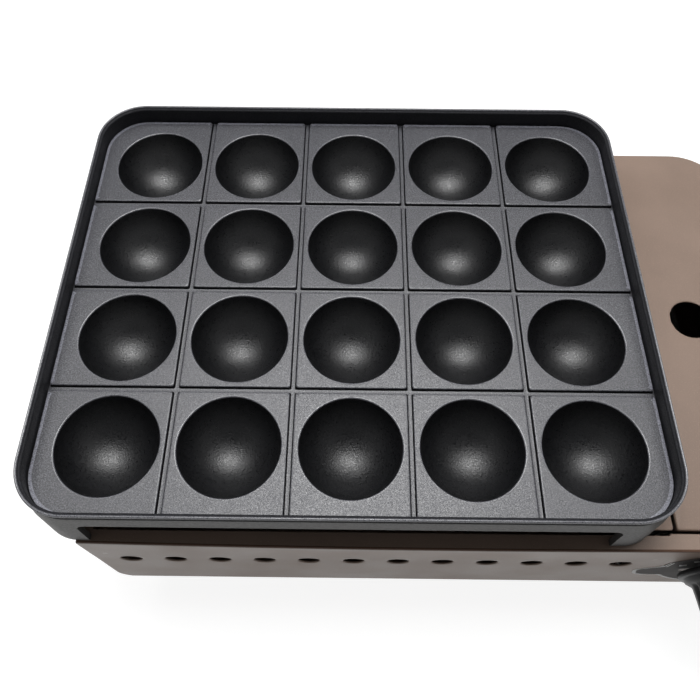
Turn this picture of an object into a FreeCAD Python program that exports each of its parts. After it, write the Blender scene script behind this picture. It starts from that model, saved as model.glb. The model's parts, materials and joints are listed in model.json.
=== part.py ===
"""Table-top gas cooker with a twenty-cup ball plate, as separate pieces.

Millimetres, +Z up, +Y away from the user. The sizes below are measured from the
centre of the cooking plate, at the level of the table. Every piece is moved to the
part's own frame as it is written: its origin is on the table, in the middle of the
object's overall box.
"""
import FreeCAD, Part
import math
import os
from FreeCAD import Vector

# ---- cups and cooking plate ----------------------------------------------------
SHEET = 1.0              # steel sheet of the casing, lid and brackets
CUP_COLUMNS = 5
CUP_ROWS = 4
CUP_RADIUS = 21.0
CUP_LAND = 6.9           # between the edges of two cups
CUP_SIDES = 14           # flats around a cup
CUP_BANDS = 3            # flats down a cup's round profile
CUP_WALL = 2.2           # under the cup's lowest point
CUP_FOOT_STEP = 7.5      # flat foot under a cup, this much inside the cup's edge
CUP_ROOT_STEP = 2.8      # cup's outside where it leaves the floor, outside that edge
EDGE_MARGIN_X = 30.7     # from the outer cups' centres to the plate's outside
EDGE_MARGIN_Y = 31.25
RIM_CORNER = 22.0
RIM_WALL = 2.4
RIM_HEIGHT = 10.0        # lip above the floor between the cups
LIP_THICK = 2.0
LIP_OVERHANG = 0.8
SKIRT_FLARE = 1.2        # the skirt's foot spreads out past its top
PLATE_FLOOR = 3.0
CUP_CLEARANCE = 3.8      # between the cups' feet and the casing's top
EDGE_CHANNEL = 1.4       # channel between the raised field and the rim
GROOVE_WIDTH = 2.6
GROOVE_DEPTH = 1.1
LEG_REACH_X = 20.5       # a leg's length along the plate's front
LEG_REACH_Y = 21.6       # and along its side
WINDOW_CORNER = 4.0
BAND_BELOW_FLOOR = 7.0   # skirt left above the openings, below the cooking face

# ---- canister bay --------------------------------------------------------------
CANISTER_RADIUS = 34.0
CANISTER_SIDE_GAP = 2.5  # between the canister and the walls beside it
CANISTER_TOP_GAP = 0.5   # between the canister and the lid's sheet
CRADLE_PLAY = 0.5        # between the canister and the cradle's curve
CRADLE_LIFT = 3.0        # cradle's lowest line above the casing floor
CRADLE_EDGE_GAP = 0.12   # between the cradle's foot and the floor's rounded edge
SHIELD_GAP = 1.5         # heat shield to the right of the plate's outside
SEAM = 1.7               # gap between the top panel and the lid
LID_STEP = 6.0           # lid's left edge, to the right of the heat shield's face
LID_SKIRT = 6.0          # lid's turned-down edge, left and front
HOLE_INSET = 29.0        # finger hole from the lid's left edge
HOLE_Y = 2.0
HOLE_R = 10.0

# ---- casing --------------------------------------------------------------------
CASE_BOTTOM_Z = 22.0     # casing's underside above the table
PLATE_OVERHANG = 16.0    # plate's left side beyond the casing's left face
FRONT_STEP = 1.1         # casing's front ahead of the plate's
REAR_STEP = 2.7          # casing's rear behind the plate's
REAR_CORNER_R = 27.0     # rear corners, seen from above
BOTTOM_EDGE_R = 12.0     # rounded lower edge of the casing
FRONT_BOW = 1.6          # how far the front bows out in the middle
FRONT_FACETS = 6         # flats that make up that bow
CORNER_FACETS = 5        # flats around each rear corner
EDGE_FACETS = 3          # flats around the lower edge
TOP_SKIRT = 9.0          # turned-down edge of the top panel and the lid
FIT_GAP = 0.2            # gap between nested sheets
STRIP_DEPTH = 6.9        # front panel's top strip, from front to back
SLOT_DEPTH = 1.2         # how far the air slot is cut into that strip
SLOT_PAST_SHIELD = 2.6   # right end of the air slot, past the heat shield's face
STRIP_GAP = 1.4          # between the strip and the top panel or the lid
RETURN_FLANGE = 12.0     # front panel's inward foot, on the casing floor
VENT_COUNT = 12
VENT_RADIUS = 4.75
VENT_SIDES = 12
VENT_DROP = 31.0         # vent row below the casing's top face
VENT_INSET = 15.1        # first vent from the casing's left face
VENT_TO_KNOB = 47.55     # last vent from the knob's axis
FLOOR_SLOTS = 7          # air slots in the casing floor
FLOOR_SLOT_PITCH = 20.0

# ---- burner well ---------------------------------------------------------------
WELL_INSET_X = 26.5      # well's sides inside the plate's outside
WELL_INSET_Y = 14.6
WELL_CORNER = 16.0
WELL_LIP = 5.0           # tray's flange under the top panel
TRAY_DEPTH = 44.0        # tray's underside below the casing's top face
TRAY_SHEET = 0.8

# ---- burner --------------------------------------------------------------------
BURNER_DROP = 29.0       # burner bars' axes below the casing's top face
BAR_RADIUS = 7.0
BAR_SIDES = 12
BAR_COUNT = CUP_ROWS - 1
BAR_END_GAP = 16.0       # bars' left ends inside the well's side
PORTS_PER_BAR = 9
PORT_WIDTH = 1.6
PORT_DEPTH = 2.0
MANIFOLD_INSET = 10.0    # cross tube's axis inside the well's right side
MANIFOLD_RADIUS = 8.5
MIXER_RADIUS = 7.5
MIXER_BORE = 5.5
NOZZLE_GAP = 2.5         # air gap between the jet and the mixing tube
NOZZLE_LENGTH = 0.6      # jet's tip ahead of its block
PIPE_RADIUS = 3.0
PIPE_INSET = 6.4         # pipe's run to the left of the heat shield's face
PIPE_BEND = 9.0
JET_HALF = 3.5           # jet block's left side from the pipe's axis
JET_FRONT_Y = -14.0      # where the pipe ends in the jet's block
SADDLE_SHEET = 1.5

# ---- lid hinge -----------------------------------------------------------------
HINGE_INSET = 4.5        # hinge line inside the casing's right face
HINGE_DROP = 4.6         # and below its top face
PIN_R = 1.5
RUN_GAP = 0.05           # running gap around a turning pin
KNUCKLE_R = 2.6
KNUCKLE_SIDES = 12
KNUCKLE_MID = 12.0
KNUCKLE_END = 8.0
KNUCKLE_GAP = 0.3
HINGE_OFFSET_Y = 55.0
HINGE_NOTCH = 1.5        # room each side of a hinge in the lid's skirt
SWING_REACH = 18.0       # casing wall lowered this far inwards of the hinge line
SWING_DROP = 2.8         # and this far below the lid's skirt

# ---- gas valve and knob --------------------------------------------------------
KNOB_OFFSET = 1.0        # knob's axis to the right of the canister's
KNOB_DROP = 28.0         # and below the casing's top face
KNOB_FLANGE_R = 22.5
KNOB_FLANGE = 5.0
KNOB_GRIP_R = 17.5
KNOB_TIP_R = 15.5
KNOB_LENGTH = 25.5       # knob's whole length
KNOB_GAP = 1.6           # between the dial plate and the knob
KNOB_FLUTES = 10
FLUTE_DEPTH = 1.5
DIAL_R = 27.0
DIAL_STAND = 2.0         # dial plate's front, ahead of the front panel's ends
SHAFT_R = 3.0
SHAFT_SEAT = 14.0        # shaft's length inside the knob
SHAFT_IN_VALVE = 12.0
VALVE_STEP = 13.0        # valve's outside inside the canister's
VALVE_INSET = 4.7        # valve's front behind the casing's front
VALVE_LENGTH = 16.0
PORT_BOSS = 3.0          # gas outlet's boss beside the valve
SOCKET_R = 13.0
SOCKET_BORE_R = 6.0
SOCKET_LENGTH = 8.0
MAGNET_GAP = 1.5         # each magnet's gap to the socket and to the guide's edge
GUIDE_STEP = 6.0         # guide plate's edge inside the canister's outside
GUIDE_TAB = 8.0          # canister guide's tab, out from its plate

# ---- igniter -------------------------------------------------------------------
IGNITER_STEP = 11.0      # piezo unit to the right of the heat shield's face
IGNITER_SIZE = 13.0
IGNITER_LENGTH = 9.5
ELECTRODE_DROP = 8.0     # electrode's end below the tray's floor
LEAD_DROP = 7.0          # lead's long run below that end
LEAD_BELOW_TOP = 4.0     # and below the piezo unit's top
ELECTRODE_X = 58.0
ELECTRODE_Y = -14.0
ELECTRODE_R = 3.0
LEAD_R = 1.3

# ---- feet ----------------------------------------------------------------------
FOOT_TOP_R = 15.0
FOOT_SIDES = 12
FOOT_LOW_R = 11.5
PAD_R = 10.0
PAD_HEIGHT = 5.0
PAD_RECESS = 2.0
FOOT_INSET_X = 34.0
FOOT_SCREW_GAP = 3.7     # from the valve's foot to the screw behind it
SCREW_R = 2.0
SCREW_SIDES = 8
HEAD_R = 3.6
HEAD_H = 2.0

# ---- sizes that follow ---------------------------------------------------------
CUP_PITCH = 2.0 * CUP_RADIUS + CUP_LAND
CUP_FOOT_R = CUP_RADIUS - CUP_FOOT_STEP
CUP_ROOT_R = CUP_RADIUS + CUP_ROOT_STEP
RIM_HALF_X = (CUP_COLUMNS - 1) / 2.0 * CUP_PITCH + EDGE_MARGIN_X
RIM_HALF_Y = (CUP_ROWS - 1) / 2.0 * CUP_PITCH + EDGE_MARGIN_Y
WINDOW_HALF_X = RIM_HALF_X - LEG_REACH_X
WINDOW_HALF_Y = RIM_HALF_Y - LEG_REACH_Y
SHIELD_X = RIM_HALF_X + SHIELD_GAP
CANISTER_X = SHIELD_X + SHEET + CANISTER_SIDE_GAP + CANISTER_RADIUS
CASE_LEFT = PLATE_OVERHANG - RIM_HALF_X
CASE_RIGHT = CANISTER_X + CANISTER_RADIUS + CANISTER_SIDE_GAP
CASE_FRONT = -RIM_HALF_Y - FRONT_STEP
CASE_REAR = RIM_HALF_Y + REAR_STEP
FLOOR_Z = CASE_BOTTOM_Z + SHEET
CRADLE_R = CANISTER_RADIUS + CRADLE_PLAY
CANISTER_Z = FLOOR_Z + CRADLE_LIFT + SHEET + CRADLE_R
TOP_Z = CANISTER_Z + CANISTER_RADIUS + CANISTER_TOP_GAP + SHEET
PLATEAU_Z = TOP_Z + CUP_CLEARANCE + CUP_WALL + CUP_RADIUS
LIP_Z = PLATEAU_Z + RIM_HEIGHT
PAN_INSET = SHEET + FIT_GAP
STRIP_REAR = CASE_FRONT + STRIP_DEPTH
TOP_FRONT = STRIP_REAR + STRIP_GAP
SLOT_END_X = SHIELD_X + SLOT_PAST_SHIELD
LID_LEFT = SHIELD_X + LID_STEP
TOP_RIGHT = LID_LEFT - SEAM
HOLE_X = LID_LEFT + HOLE_INSET
HINGE_X = CASE_RIGHT - HINGE_INSET
HINGE_Z = TOP_Z - HINGE_DROP
WELL_HALF_X = RIM_HALF_X - WELL_INSET_X
WELL_HALF_Y = RIM_HALF_Y - WELL_INSET_Y
TRAY_FLOOR_Z = TOP_Z - TRAY_DEPTH
BURNER_Z = TOP_Z - BURNER_DROP
BAR_PITCH = CUP_PITCH    # one bar under each line between two rows of cups
BAR_HALF_LENGTH = WELL_HALF_X - BAR_END_GAP
MANIFOLD_X = WELL_HALF_X - MANIFOLD_INSET
PIPE_X = SHIELD_X - PIPE_INSET
MIXER_MOUTH_X = PIPE_X - JET_HALF - NOZZLE_LENGTH - NOZZLE_GAP
KNOB_X = CANISTER_X + KNOB_OFFSET
KNOB_Z = TOP_Z - KNOB_DROP
KNOB_BACK_Y = CASE_FRONT - DIAL_STAND - KNOB_GAP
KNOB_TIP_Y = KNOB_BACK_Y - KNOB_LENGTH
VALVE_FRONT_Y = CASE_FRONT + VALVE_INSET
VALVE_REAR_Y = VALVE_FRONT_Y + VALVE_LENGTH
VALVE_R = CANISTER_RADIUS - VALVE_STEP
VALVE_PORT_X = CANISTER_X - VALVE_R - PORT_BOSS
GUIDE_R = CANISTER_RADIUS - GUIDE_STEP
MAGNET_OFFSET = (SOCKET_R + GUIDE_R) / 2.0
MAGNET_R = (GUIDE_R - SOCKET_R) / 2.0 - MAGNET_GAP
CRADLE_FOOT_X = CANISTER_RADIUS + CANISTER_SIDE_GAP - PAN_INSET - BOTTOM_EDGE_R - CRADLE_EDGE_GAP
CRADLE_ANGLE = math.asin((CRADLE_FOOT_X - SHEET) / CRADLE_R)
FOOT_INSET_Y = VALVE_INSET + VALVE_LENGTH + HEAD_R + FOOT_SCREW_GAP
CRADLE_FRONT_Y = VALVE_REAR_Y + GUIDE_TAB + 1.0
CRADLE_REAR_Y = CASE_REAR - REAR_CORNER_R - 0.3
VENT_FIRST_X = CASE_LEFT + VENT_INSET
VENT_PITCH = (KNOB_X - VENT_TO_KNOB - VENT_FIRST_X) / (VENT_COUNT - 1)
IGNITER_X = SHIELD_X + IGNITER_STEP
ELECTRODE_LOW_Z = TRAY_FLOOR_Z - ELECTRODE_DROP
LEAD_Z = ELECTRODE_LOW_Z - LEAD_DROP
IGNITER_Z = LEAD_Z + LEAD_BELOW_TOP
FRAME_X = -(CASE_RIGHT - RIM_HALF_X) / 2.0
FRAME_Y = -(CASE_REAR + KNOB_TIP_Y) / 2.0


# ---- helpers -------------------------------------------------------------------
def write(name, shape):
    """Write one piece, moved to the part's own frame."""
    placed = shape.copy()
    placed.translate(Vector(FRAME_X, FRAME_Y, 0))
    placed.exportStep("parts/" + name + ".step")


def level(z):
    """Places outline points in the horizontal plane at height z."""
    return lambda u, v: Vector(u, v, z)


def upright_xz(y):
    """Places outline points in the upright plane at depth y: u is X, v is Z."""
    return lambda u, v: Vector(u, y, v)


def upright_yz(x):
    """Places outline points in the upright plane at x: u is Y, v is Z."""
    return lambda u, v: Vector(x, u, v)


def outline(corners, place):
    """Closed face through (u, v, radius) corners, each turned on a tangent arc."""
    runs = []
    for i, (u, v, radius) in enumerate(corners):
        here = place(u, v)
        if radius <= 0:
            runs.append((here, here, None))
            continue
        before = place(*corners[i - 1][:2])
        after = place(*corners[(i + 1) % len(corners)][:2])
        back = (before - here).normalize()
        on = (after - here).normalize()
        half = back.getAngle(on) / 2.0
        inward = (back + on).normalize()
        centre = here + inward * (radius / math.sin(half))
        reach = radius / math.tan(half)
        runs.append((here + back * reach, here + on * reach, centre - inward * radius))
    edges = []
    for i, (start, end, middle) in enumerate(runs):
        if middle is not None:
            edges.append(Part.Arc(start, middle, end).toShape())
        following = runs[(i + 1) % len(runs)][0]
        if (following - end).Length > 1e-6:
            edges.append(Part.LineSegment(end, following).toShape())
    return Part.Face(Part.Wire(edges))


def rectangle(x0, x1, y0, y1, r00=0.0, r10=0.0, r11=0.0, r01=0.0):
    """Corners of a rectangle, with a radius for each of its corners in turn."""
    return [(x0, y0, r00), (x1, y0, r10), (x1, y1, r11), (x0, y1, r01)]


def slab(corners, z0, z1):
    """Upright prism over a horizontal outline."""
    return outline(corners, level(z0)).extrude(Vector(0, 0, z1 - z0))


def box(x0, x1, y0, y1, z0, z1):
    return Part.makeBox(x1 - x0, y1 - y0, z1 - z0, Vector(x0, y0, z0))


def rod_y(radius, x, z, y0, y1):
    """Round bar along Y."""
    return Part.makeCylinder(radius, y1 - y0, Vector(x, y0, z), Vector(0, 1, 0))


def rod_z(radius, x, y, z0, z1):
    """Round bar along Z."""
    return Part.makeCylinder(radius, z1 - z0, Vector(x, y, z0))


def fused(shapes):
    """One solid out of touching shapes, without seams between coplanar faces."""
    whole = shapes[0].multiFuse(shapes[1:]).removeSplitter()
    return whole


def flat(points):
    """Flat face through corners in turn."""
    return Part.Face(Part.makePolygon(points + [points[0]]))


def ring(u, v, radius, sides, place):
    """Corners of a regular polygon about (u, v), on a circle of the given radius."""
    step = 2.0 * math.pi / sides
    corners = []
    for i in range(sides):
        angle = (i + 0.5) * step
        corners.append(place(u + radius * math.cos(angle), v + radius * math.sin(angle)))
    return corners


def banded(rings):
    """Solid with flat facets between successive rings of corners, closed at its ends."""
    faces = [flat(rings[0]), flat(rings[-1])]
    for low, high in zip(rings, rings[1:]):
        for i in range(len(low)):
            j = (i + 1) % len(low)
            faces.append(flat([low[i], low[j], high[j], high[i]]))
    solid = Part.Solid(Part.Shell(faces))
    if solid.Volume < 0:
        solid.reverse()
    return solid


def post_x(radius, sides, y, z, x0, x1):
    """Faceted bar along X."""
    return banded([ring(y, z, radius, sides, upright_yz(x)) for x in (x0, x1)])


def post_y(radius, sides, x, z, y0, y1):
    """Faceted bar along Y."""
    return banded([ring(x, z, radius, sides, upright_xz(y)) for y in (y0, y1)])


def post_z(radius, sides, x, y, z0, z1):
    """Faceted bar along Z."""
    return banded([ring(x, y, radius, sides, level(z)) for z in (z0, z1)])


def bevelled(x0, x1, y0, y1, bevel):
    """Corners of a rectangle whose corners are cut off at 45 degrees."""
    b = bevel
    return [(x0 + b, y0, 0), (x1 - b, y0, 0), (x1, y0 + b, 0), (x1, y1 - b, 0),
            (x1 - b, y1, 0), (x0 + b, y1, 0), (x0, y1 - b, 0), (x0, y0 + b, 0)]


def bent_line(points, bend, steps):
    """Points of a route whose corners are turned on an arc, taken in short steps."""
    line = [points[0]]
    for before, here, after in zip(points, points[1:], points[2:]):
        back = (before - here).normalize()
        on = (after - here).normalize()
        half = back.getAngle(on) / 2.0
        centre = here + (back + on).normalize() * (bend / math.sin(half))
        start = here + back * (bend / math.tan(half))
        from_centre = start - centre
        turn = math.pi - 2.0 * half
        for i in range(steps + 1):
            angle = turn * i / steps
            line.append(centre + from_centre * math.cos(angle)
                        - back * (bend * math.sin(angle)))
    line.append(points[-1])
    return line


def bent_rod(points, bend, radius, sides, steps=3):
    """Faceted rod along a route, mitred from each short run to the next."""
    line = bent_line(points, bend, steps)
    along = (line[1] - line[0]).normalize()
    side = along.cross(Vector(0, 0, 1))
    if side.Length < 0.1:
        side = Vector(1, 0, 0)
    side.normalize()
    other = along.cross(side)
    rings = [ring(0.0, 0.0, radius, sides, lambda u, v: line[0] + side * u + other * v)]
    for i in range(1, len(line)):
        along = (line[i] - line[i - 1]).normalize()
        facing = along
        if i + 1 < len(line):
            facing = (along + (line[i + 1] - line[i]).normalize()).normalize()
        moved = []
        for corner in rings[-1]:
            travel = (line[i] - corner).dot(facing) / along.dot(facing)
            moved.append(corner + along * travel)
        rings.append(moved)
    return banded(rings)


def screw(x, y, z0, z1, head_z0, head_z1):
    """Pan-head screw: its head and its shank, each between two heights."""
    head = post_z(HEAD_R, 12, x, y, head_z0, head_z1)
    return fused([head, post_z(SCREW_R, SCREW_SIDES, x, y, z0, z1)])


def screw_holes(places, radius, z0, z1):
    """Cutters along Z at each (x, y)."""
    return [post_z(radius, SCREW_SIDES, x, y, z0, z1) for x, y in places]


# ---- places shared by several pieces -------------------------------------------
def cup_centres():
    """Centres of the cups, row by row."""
    first_x = -(CUP_COLUMNS - 1) * CUP_PITCH / 2.0
    first_y = -(CUP_ROWS - 1) * CUP_PITCH / 2.0
    centres = []
    for row in range(CUP_ROWS):
        for column in range(CUP_COLUMNS):
            centres.append((first_x + column * CUP_PITCH, first_y + row * CUP_PITCH))
    return centres


def bar_rows():
    """Y of each burner bar."""
    return [(i - (BAR_COUNT - 1) / 2.0) * BAR_PITCH for i in range(BAR_COUNT)]


def foot_centres():
    """Named (x, y) of the four feet."""
    left = CASE_LEFT + FOOT_INSET_X
    right = CASE_RIGHT - FOOT_INSET_X
    front = CASE_FRONT + FOOT_INSET_Y
    rear = CASE_REAR - FOOT_INSET_Y
    return {
        "front_left": (left, front),
        "front_right": (right, front),
        "rear_left": (left, rear),
        "rear_right": (right, rear),
    }


def flange_screw_places():
    """Screws through the casing floor into the front panel's foot."""
    y = CASE_FRONT + SHEET + RETURN_FLANGE * 0.6
    span = CASE_RIGHT - CASE_LEFT
    return [(CASE_LEFT + span * share, y) for share in (0.12, 0.45, 0.78)]


def shield_screw_places():
    """Screws through the casing floor into the heat shield's foot."""
    return [(SHIELD_X - 6.0, y) for y in (-60.0, 70.0)]


# ---- cooking plate -------------------------------------------------------------
def rim_corners(inset):
    """Plate's outline, drawn in by inset."""
    x = RIM_HALF_X - inset
    y = RIM_HALF_Y - inset
    r = RIM_CORNER - inset
    return rectangle(-x, x, -y, y, r, r, r, r)


def cup_space(x, y):
    """Inside of one cup: a half ball in flat facets, open upwards."""
    rings = []
    for i in range(CUP_BANDS + 1):
        angle = math.radians(90.0 * (i + 0.5) / (CUP_BANDS + 0.5))
        rings.append(ring(x, y, CUP_RADIUS * math.sin(angle), CUP_SIDES,
                          level(PLATEAU_Z - CUP_RADIUS * math.cos(angle))))
    rings.append(ring(x, y, CUP_RADIUS, CUP_SIDES, level(PLATEAU_Z + 1.0)))
    return banded(rings)


def cup_shell(x, y):
    """Outside of one cup below the plate's floor."""
    bottom = PLATEAU_Z - CUP_RADIUS - CUP_WALL
    root = PLATEAU_Z - PLATE_FLOOR
    return banded([
        ring(x, y, CUP_FOOT_R, CUP_SIDES, level(bottom)),
        ring(x, y, CUP_ROOT_R, CUP_SIDES, level(root)),
    ])


def skirt_windows():
    """The four openings in the plate's skirt, which leave a leg at each corner."""
    top = PLATEAU_Z - BAND_BELOW_FLOOR
    low = TOP_Z - 1.0
    r = WINDOW_CORNER
    wide = rectangle(-WINDOW_HALF_X, WINDOW_HALF_X, low, top, 0, 0, r, r)
    deep = rectangle(-WINDOW_HALF_Y, WINDOW_HALF_Y, low, top, 0, 0, r, r)
    reach_x = RIM_WALL + LIP_OVERHANG + 1.0
    windows = []
    for y in (-RIM_HALF_Y - 1.0, RIM_HALF_Y + 1.0 - reach_x - 1.0):
        face = outline(wide, upright_xz(y))
        windows.append(face.extrude(Vector(0, reach_x + 1.0, 0)))
    for x in (-RIM_HALF_X - 1.0, RIM_HALF_X + 1.0 - reach_x - 1.0):
        face = outline(deep, upright_yz(x))
        windows.append(face.extrude(Vector(reach_x + 1.0, 0, 0)))
    return windows


def cup_grooves():
    """Channels between the raised fields around the cups, and along the rim."""
    low = PLATEAU_Z - GROOVE_DEPTH
    high = PLATEAU_Z + 0.5
    half_x = RIM_HALF_X - LIP_OVERHANG - RIM_WALL
    half_y = RIM_HALF_Y - LIP_OVERHANG - RIM_WALL
    cuts = []
    for i in range(CUP_COLUMNS - 1):
        x = (i - (CUP_COLUMNS - 2) / 2.0) * CUP_PITCH
        cuts.append(box(x - GROOVE_WIDTH / 2.0, x + GROOVE_WIDTH / 2.0,
                        -half_y, half_y, low, high))
    for i in range(CUP_ROWS - 1):
        y = (i - (CUP_ROWS - 2) / 2.0) * CUP_PITCH
        cuts.append(box(-half_x, half_x, y - GROOVE_WIDTH / 2.0,
                        y + GROOVE_WIDTH / 2.0, low, high))
    wall = LIP_OVERHANG + RIM_WALL
    ring = slab(rim_corners(wall), low, high)
    field = slab(rim_corners(wall + EDGE_CHANNEL), low - 1.0, high + 1.0)
    cuts.append(ring.cut(field))
    return cuts


def flared(inset, z0, z1):
    """Block in the rim's outline, whose foot at z0 is spread out past its top at z1."""
    foot = outline(rim_corners(inset - SKIRT_FLARE), level(z0))
    top = outline(rim_corners(inset), level(z1))
    return Part.makeLoft([foot.OuterWire, top.OuterWire], True, True)


def cooking_plate():
    """Cast plate: lip, skirt on four legs, floor with channels and twenty cups."""
    wall = LIP_OVERHANG + RIM_WALL
    skirt = flared(LIP_OVERHANG, TOP_Z, PLATEAU_Z)
    rim = slab(rim_corners(LIP_OVERHANG), PLATEAU_Z, LIP_Z)
    lip = slab(rim_corners(0.0), LIP_Z - LIP_THICK, LIP_Z)
    plate = fused([skirt, rim, lip])
    basin = slab(rim_corners(wall), PLATEAU_Z, LIP_Z + 1.0)
    underside = flared(wall, TOP_Z, PLATEAU_Z - PLATE_FLOOR)
    plate = plate.cut([basin, underside])
    centres = cup_centres()
    plate = plate.multiFuse([cup_shell(x, y) for x, y in centres])
    cuts = [cup_space(x, y) for x, y in centres]
    plate = plate.cut(cuts + skirt_windows() + cup_grooves())
    return plate.removeSplitter()


# ---- casing --------------------------------------------------------------------
def case_ring(inset, z):
    """Corners of the casing seen from above, drawn in by inset, at height z."""
    r = REAR_CORNER_R
    corners = [(CASE_LEFT + inset, CASE_FRONT + SHEET),
               (CASE_RIGHT - inset, CASE_FRONT + SHEET)]
    for i in range(CORNER_FACETS + 1):
        angle = math.pi / 2.0 * i / CORNER_FACETS
        corners.append((CASE_RIGHT - r + (r - inset) * math.cos(angle),
                        CASE_REAR - r + (r - inset) * math.sin(angle)))
    for i in range(CORNER_FACETS + 1):
        angle = math.pi / 2.0 * (1.0 + i / CORNER_FACETS)
        corners.append((CASE_LEFT + r + (r - inset) * math.cos(angle),
                        CASE_REAR - r + (r - inset) * math.sin(angle)))
    return [Vector(x, y, z) for x, y in corners]


def pan_rings(wall, top):
    """Rings of the drawn pan's face that lies wall inside its outer face."""
    radius = BOTTOM_EDGE_R - wall
    rings = []
    for i in range(EDGE_FACETS + 1):
        angle = math.pi / 2.0 * i / EDGE_FACETS
        inset = PAN_INSET + BOTTOM_EDGE_R - radius * math.sin(angle)
        height = CASE_BOTTOM_Z + BOTTOM_EDGE_R - radius * math.cos(angle)
        rings.append(case_ring(inset, height))
    rings.append(case_ring(PAN_INSET + wall, top))
    return rings


def case_pan():
    """Drawn lower casing: floor, sides and rear, open to the front."""
    top = TOP_Z - SHEET
    pan = banded(pan_rings(0.0, top))
    inner = banded(pan_rings(SHEET, top + 5.0))
    mouth = inner.copy()
    mouth.translate(Vector(0, -5.0, 0))
    # the wall beside the lid's hinges is lower, so that the lid's edge can swing in
    swing = box(HINGE_X - SWING_REACH, CASE_RIGHT + 1.0, TOP_FRONT, CASE_REAR + 1.0,
                TOP_Z - TOP_SKIRT - SWING_DROP, TOP_Z)
    places = flange_screw_places() + shield_screw_places()
    places += list(foot_centres().values())
    bores = screw_holes(places, SCREW_R, CASE_BOTTOM_Z - 1.0, FLOOR_Z + 1.0)
    slots = []
    for i in range(FLOOR_SLOTS):
        x = (i - (FLOOR_SLOTS - 1) / 2.0) * FLOOR_SLOT_PITCH
        slots.append(slab(bevelled(x - 2.5, x + 2.5, -40.0, 10.0, 1.5),
                          CASE_BOTTOM_Z - 1.0, FLOOR_Z + 1.0))
    return pan.cut([inner, mouth, swing] + bores + slots)


def front_line(back=0.0):
    """Points (x, y) along the bowed front, left to right, moved back by back."""
    points = []
    for i in range(FRONT_FACETS + 1):
        share = i / FRONT_FACETS
        bow = FRONT_BOW * (1.0 - (2.0 * share - 1.0) ** 2)
        points.append((CASE_LEFT + (CASE_RIGHT - CASE_LEFT) * share,
                       CASE_FRONT - bow + back))
    return points


def front_sheet():
    """Bowed upright sheet with its two lower corners rounded off."""
    edge = [(x, y, 0) for x, y in front_line() + front_line(SHEET)[::-1]]
    face = slab(edge, CASE_BOTTOM_Z, TOP_Z - SHEET)
    r = BOTTOM_EDGE_R
    trim = outline(rectangle(CASE_LEFT, CASE_RIGHT, CASE_BOTTOM_Z, TOP_Z + 1.0, r, r),
                   upright_xz(CASE_FRONT - 5.0)).extrude(Vector(0, 20.0, 0))
    return face.common(trim)


def front_panel():
    """Front sheet: bowed face, top strip, foot flange, vents and the knob's hole."""
    edge = [(x, y, 0) for x, y in front_line()]
    strip = slab(edge + [(CASE_RIGHT, STRIP_REAR, 0), (CASE_LEFT, STRIP_REAR, 0)],
                 TOP_Z - SHEET, TOP_Z)
    fold = box(CASE_LEFT + PAN_INSET + SHEET, CASE_RIGHT - PAN_INSET - SHEET,
               STRIP_REAR - SHEET - SLOT_DEPTH, STRIP_REAR - SLOT_DEPTH,
               TOP_Z - SHEET - 5.0, TOP_Z - SHEET)
    foot = box(CASE_LEFT + BOTTOM_EDGE_R + 2.0, CASE_RIGHT - BOTTOM_EDGE_R - 2.0,
               CASE_FRONT, CASE_FRONT + SHEET + RETURN_FLANGE, FLOOR_Z, FLOOR_Z + SHEET)
    foot = foot.cut(slab([(x, y + SHEET / 2.0, 0) for x, y in front_line()]
                         + [(CASE_RIGHT, CASE_FRONT - 9.0, 0),
                            (CASE_LEFT, CASE_FRONT - 9.0, 0)], FLOOR_Z, FLOOR_Z + SHEET))
    panel = fused([front_sheet(), strip, fold, foot])
    vent_z = TOP_Z - VENT_DROP
    near = CASE_FRONT - 5.0
    cuts = []
    for i in range(VENT_COUNT):
        x = VENT_FIRST_X + i * VENT_PITCH
        cuts.append(post_y(VENT_RADIUS, VENT_SIDES, x, vent_z, near, CASE_FRONT + 3.0))
    cuts.append(rod_y(SHAFT_R + 1.5, KNOB_X, KNOB_Z, near, CASE_FRONT + 3.0))
    cuts.append(box(CASE_LEFT + 6.0, SLOT_END_X, STRIP_REAR - SLOT_DEPTH,
                    STRIP_REAR + 1.0, TOP_Z - 6.5, TOP_Z + 1.0))
    cuts += screw_holes(flange_screw_places(), SCREW_R, FLOOR_Z - 1.0, FLOOR_Z + 2.0)
    return panel.cut(cuts)


def well_corners(grow):
    """Outline of the burner well, grown by grow."""
    x = WELL_HALF_X + grow
    y = WELL_HALF_Y + grow
    r = WELL_CORNER + grow
    return rectangle(-x, x, -y, y, r, r, r, r)


def top_panel():
    """Top sheet around the burner well, turned down at the left and rear."""
    r = REAR_CORNER_R
    corners = rectangle(CASE_LEFT, TOP_RIGHT, TOP_FRONT, CASE_REAR, 0, 0, 0, r)
    sheet = slab(corners, TOP_Z - TOP_SKIRT, TOP_Z)
    inside = rectangle(CASE_LEFT + SHEET, TOP_RIGHT + 5.0, TOP_FRONT - 5.0,
                       CASE_REAR - SHEET, 0, 0, 0, r - SHEET)
    sheet = sheet.cut(slab(inside, TOP_Z - TOP_SKIRT - 1.0, TOP_Z - SHEET))
    lip = slab(well_corners(0.0), TOP_Z - 4.0, TOP_Z)
    lip = lip.cut(slab(well_corners(-SHEET), TOP_Z - 5.0, TOP_Z + 1.0))
    opening = slab(well_corners(-SHEET), TOP_Z - TOP_SKIRT - 1.0, TOP_Z + 1.0)
    return fused([sheet.cut(opening), lip])


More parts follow.
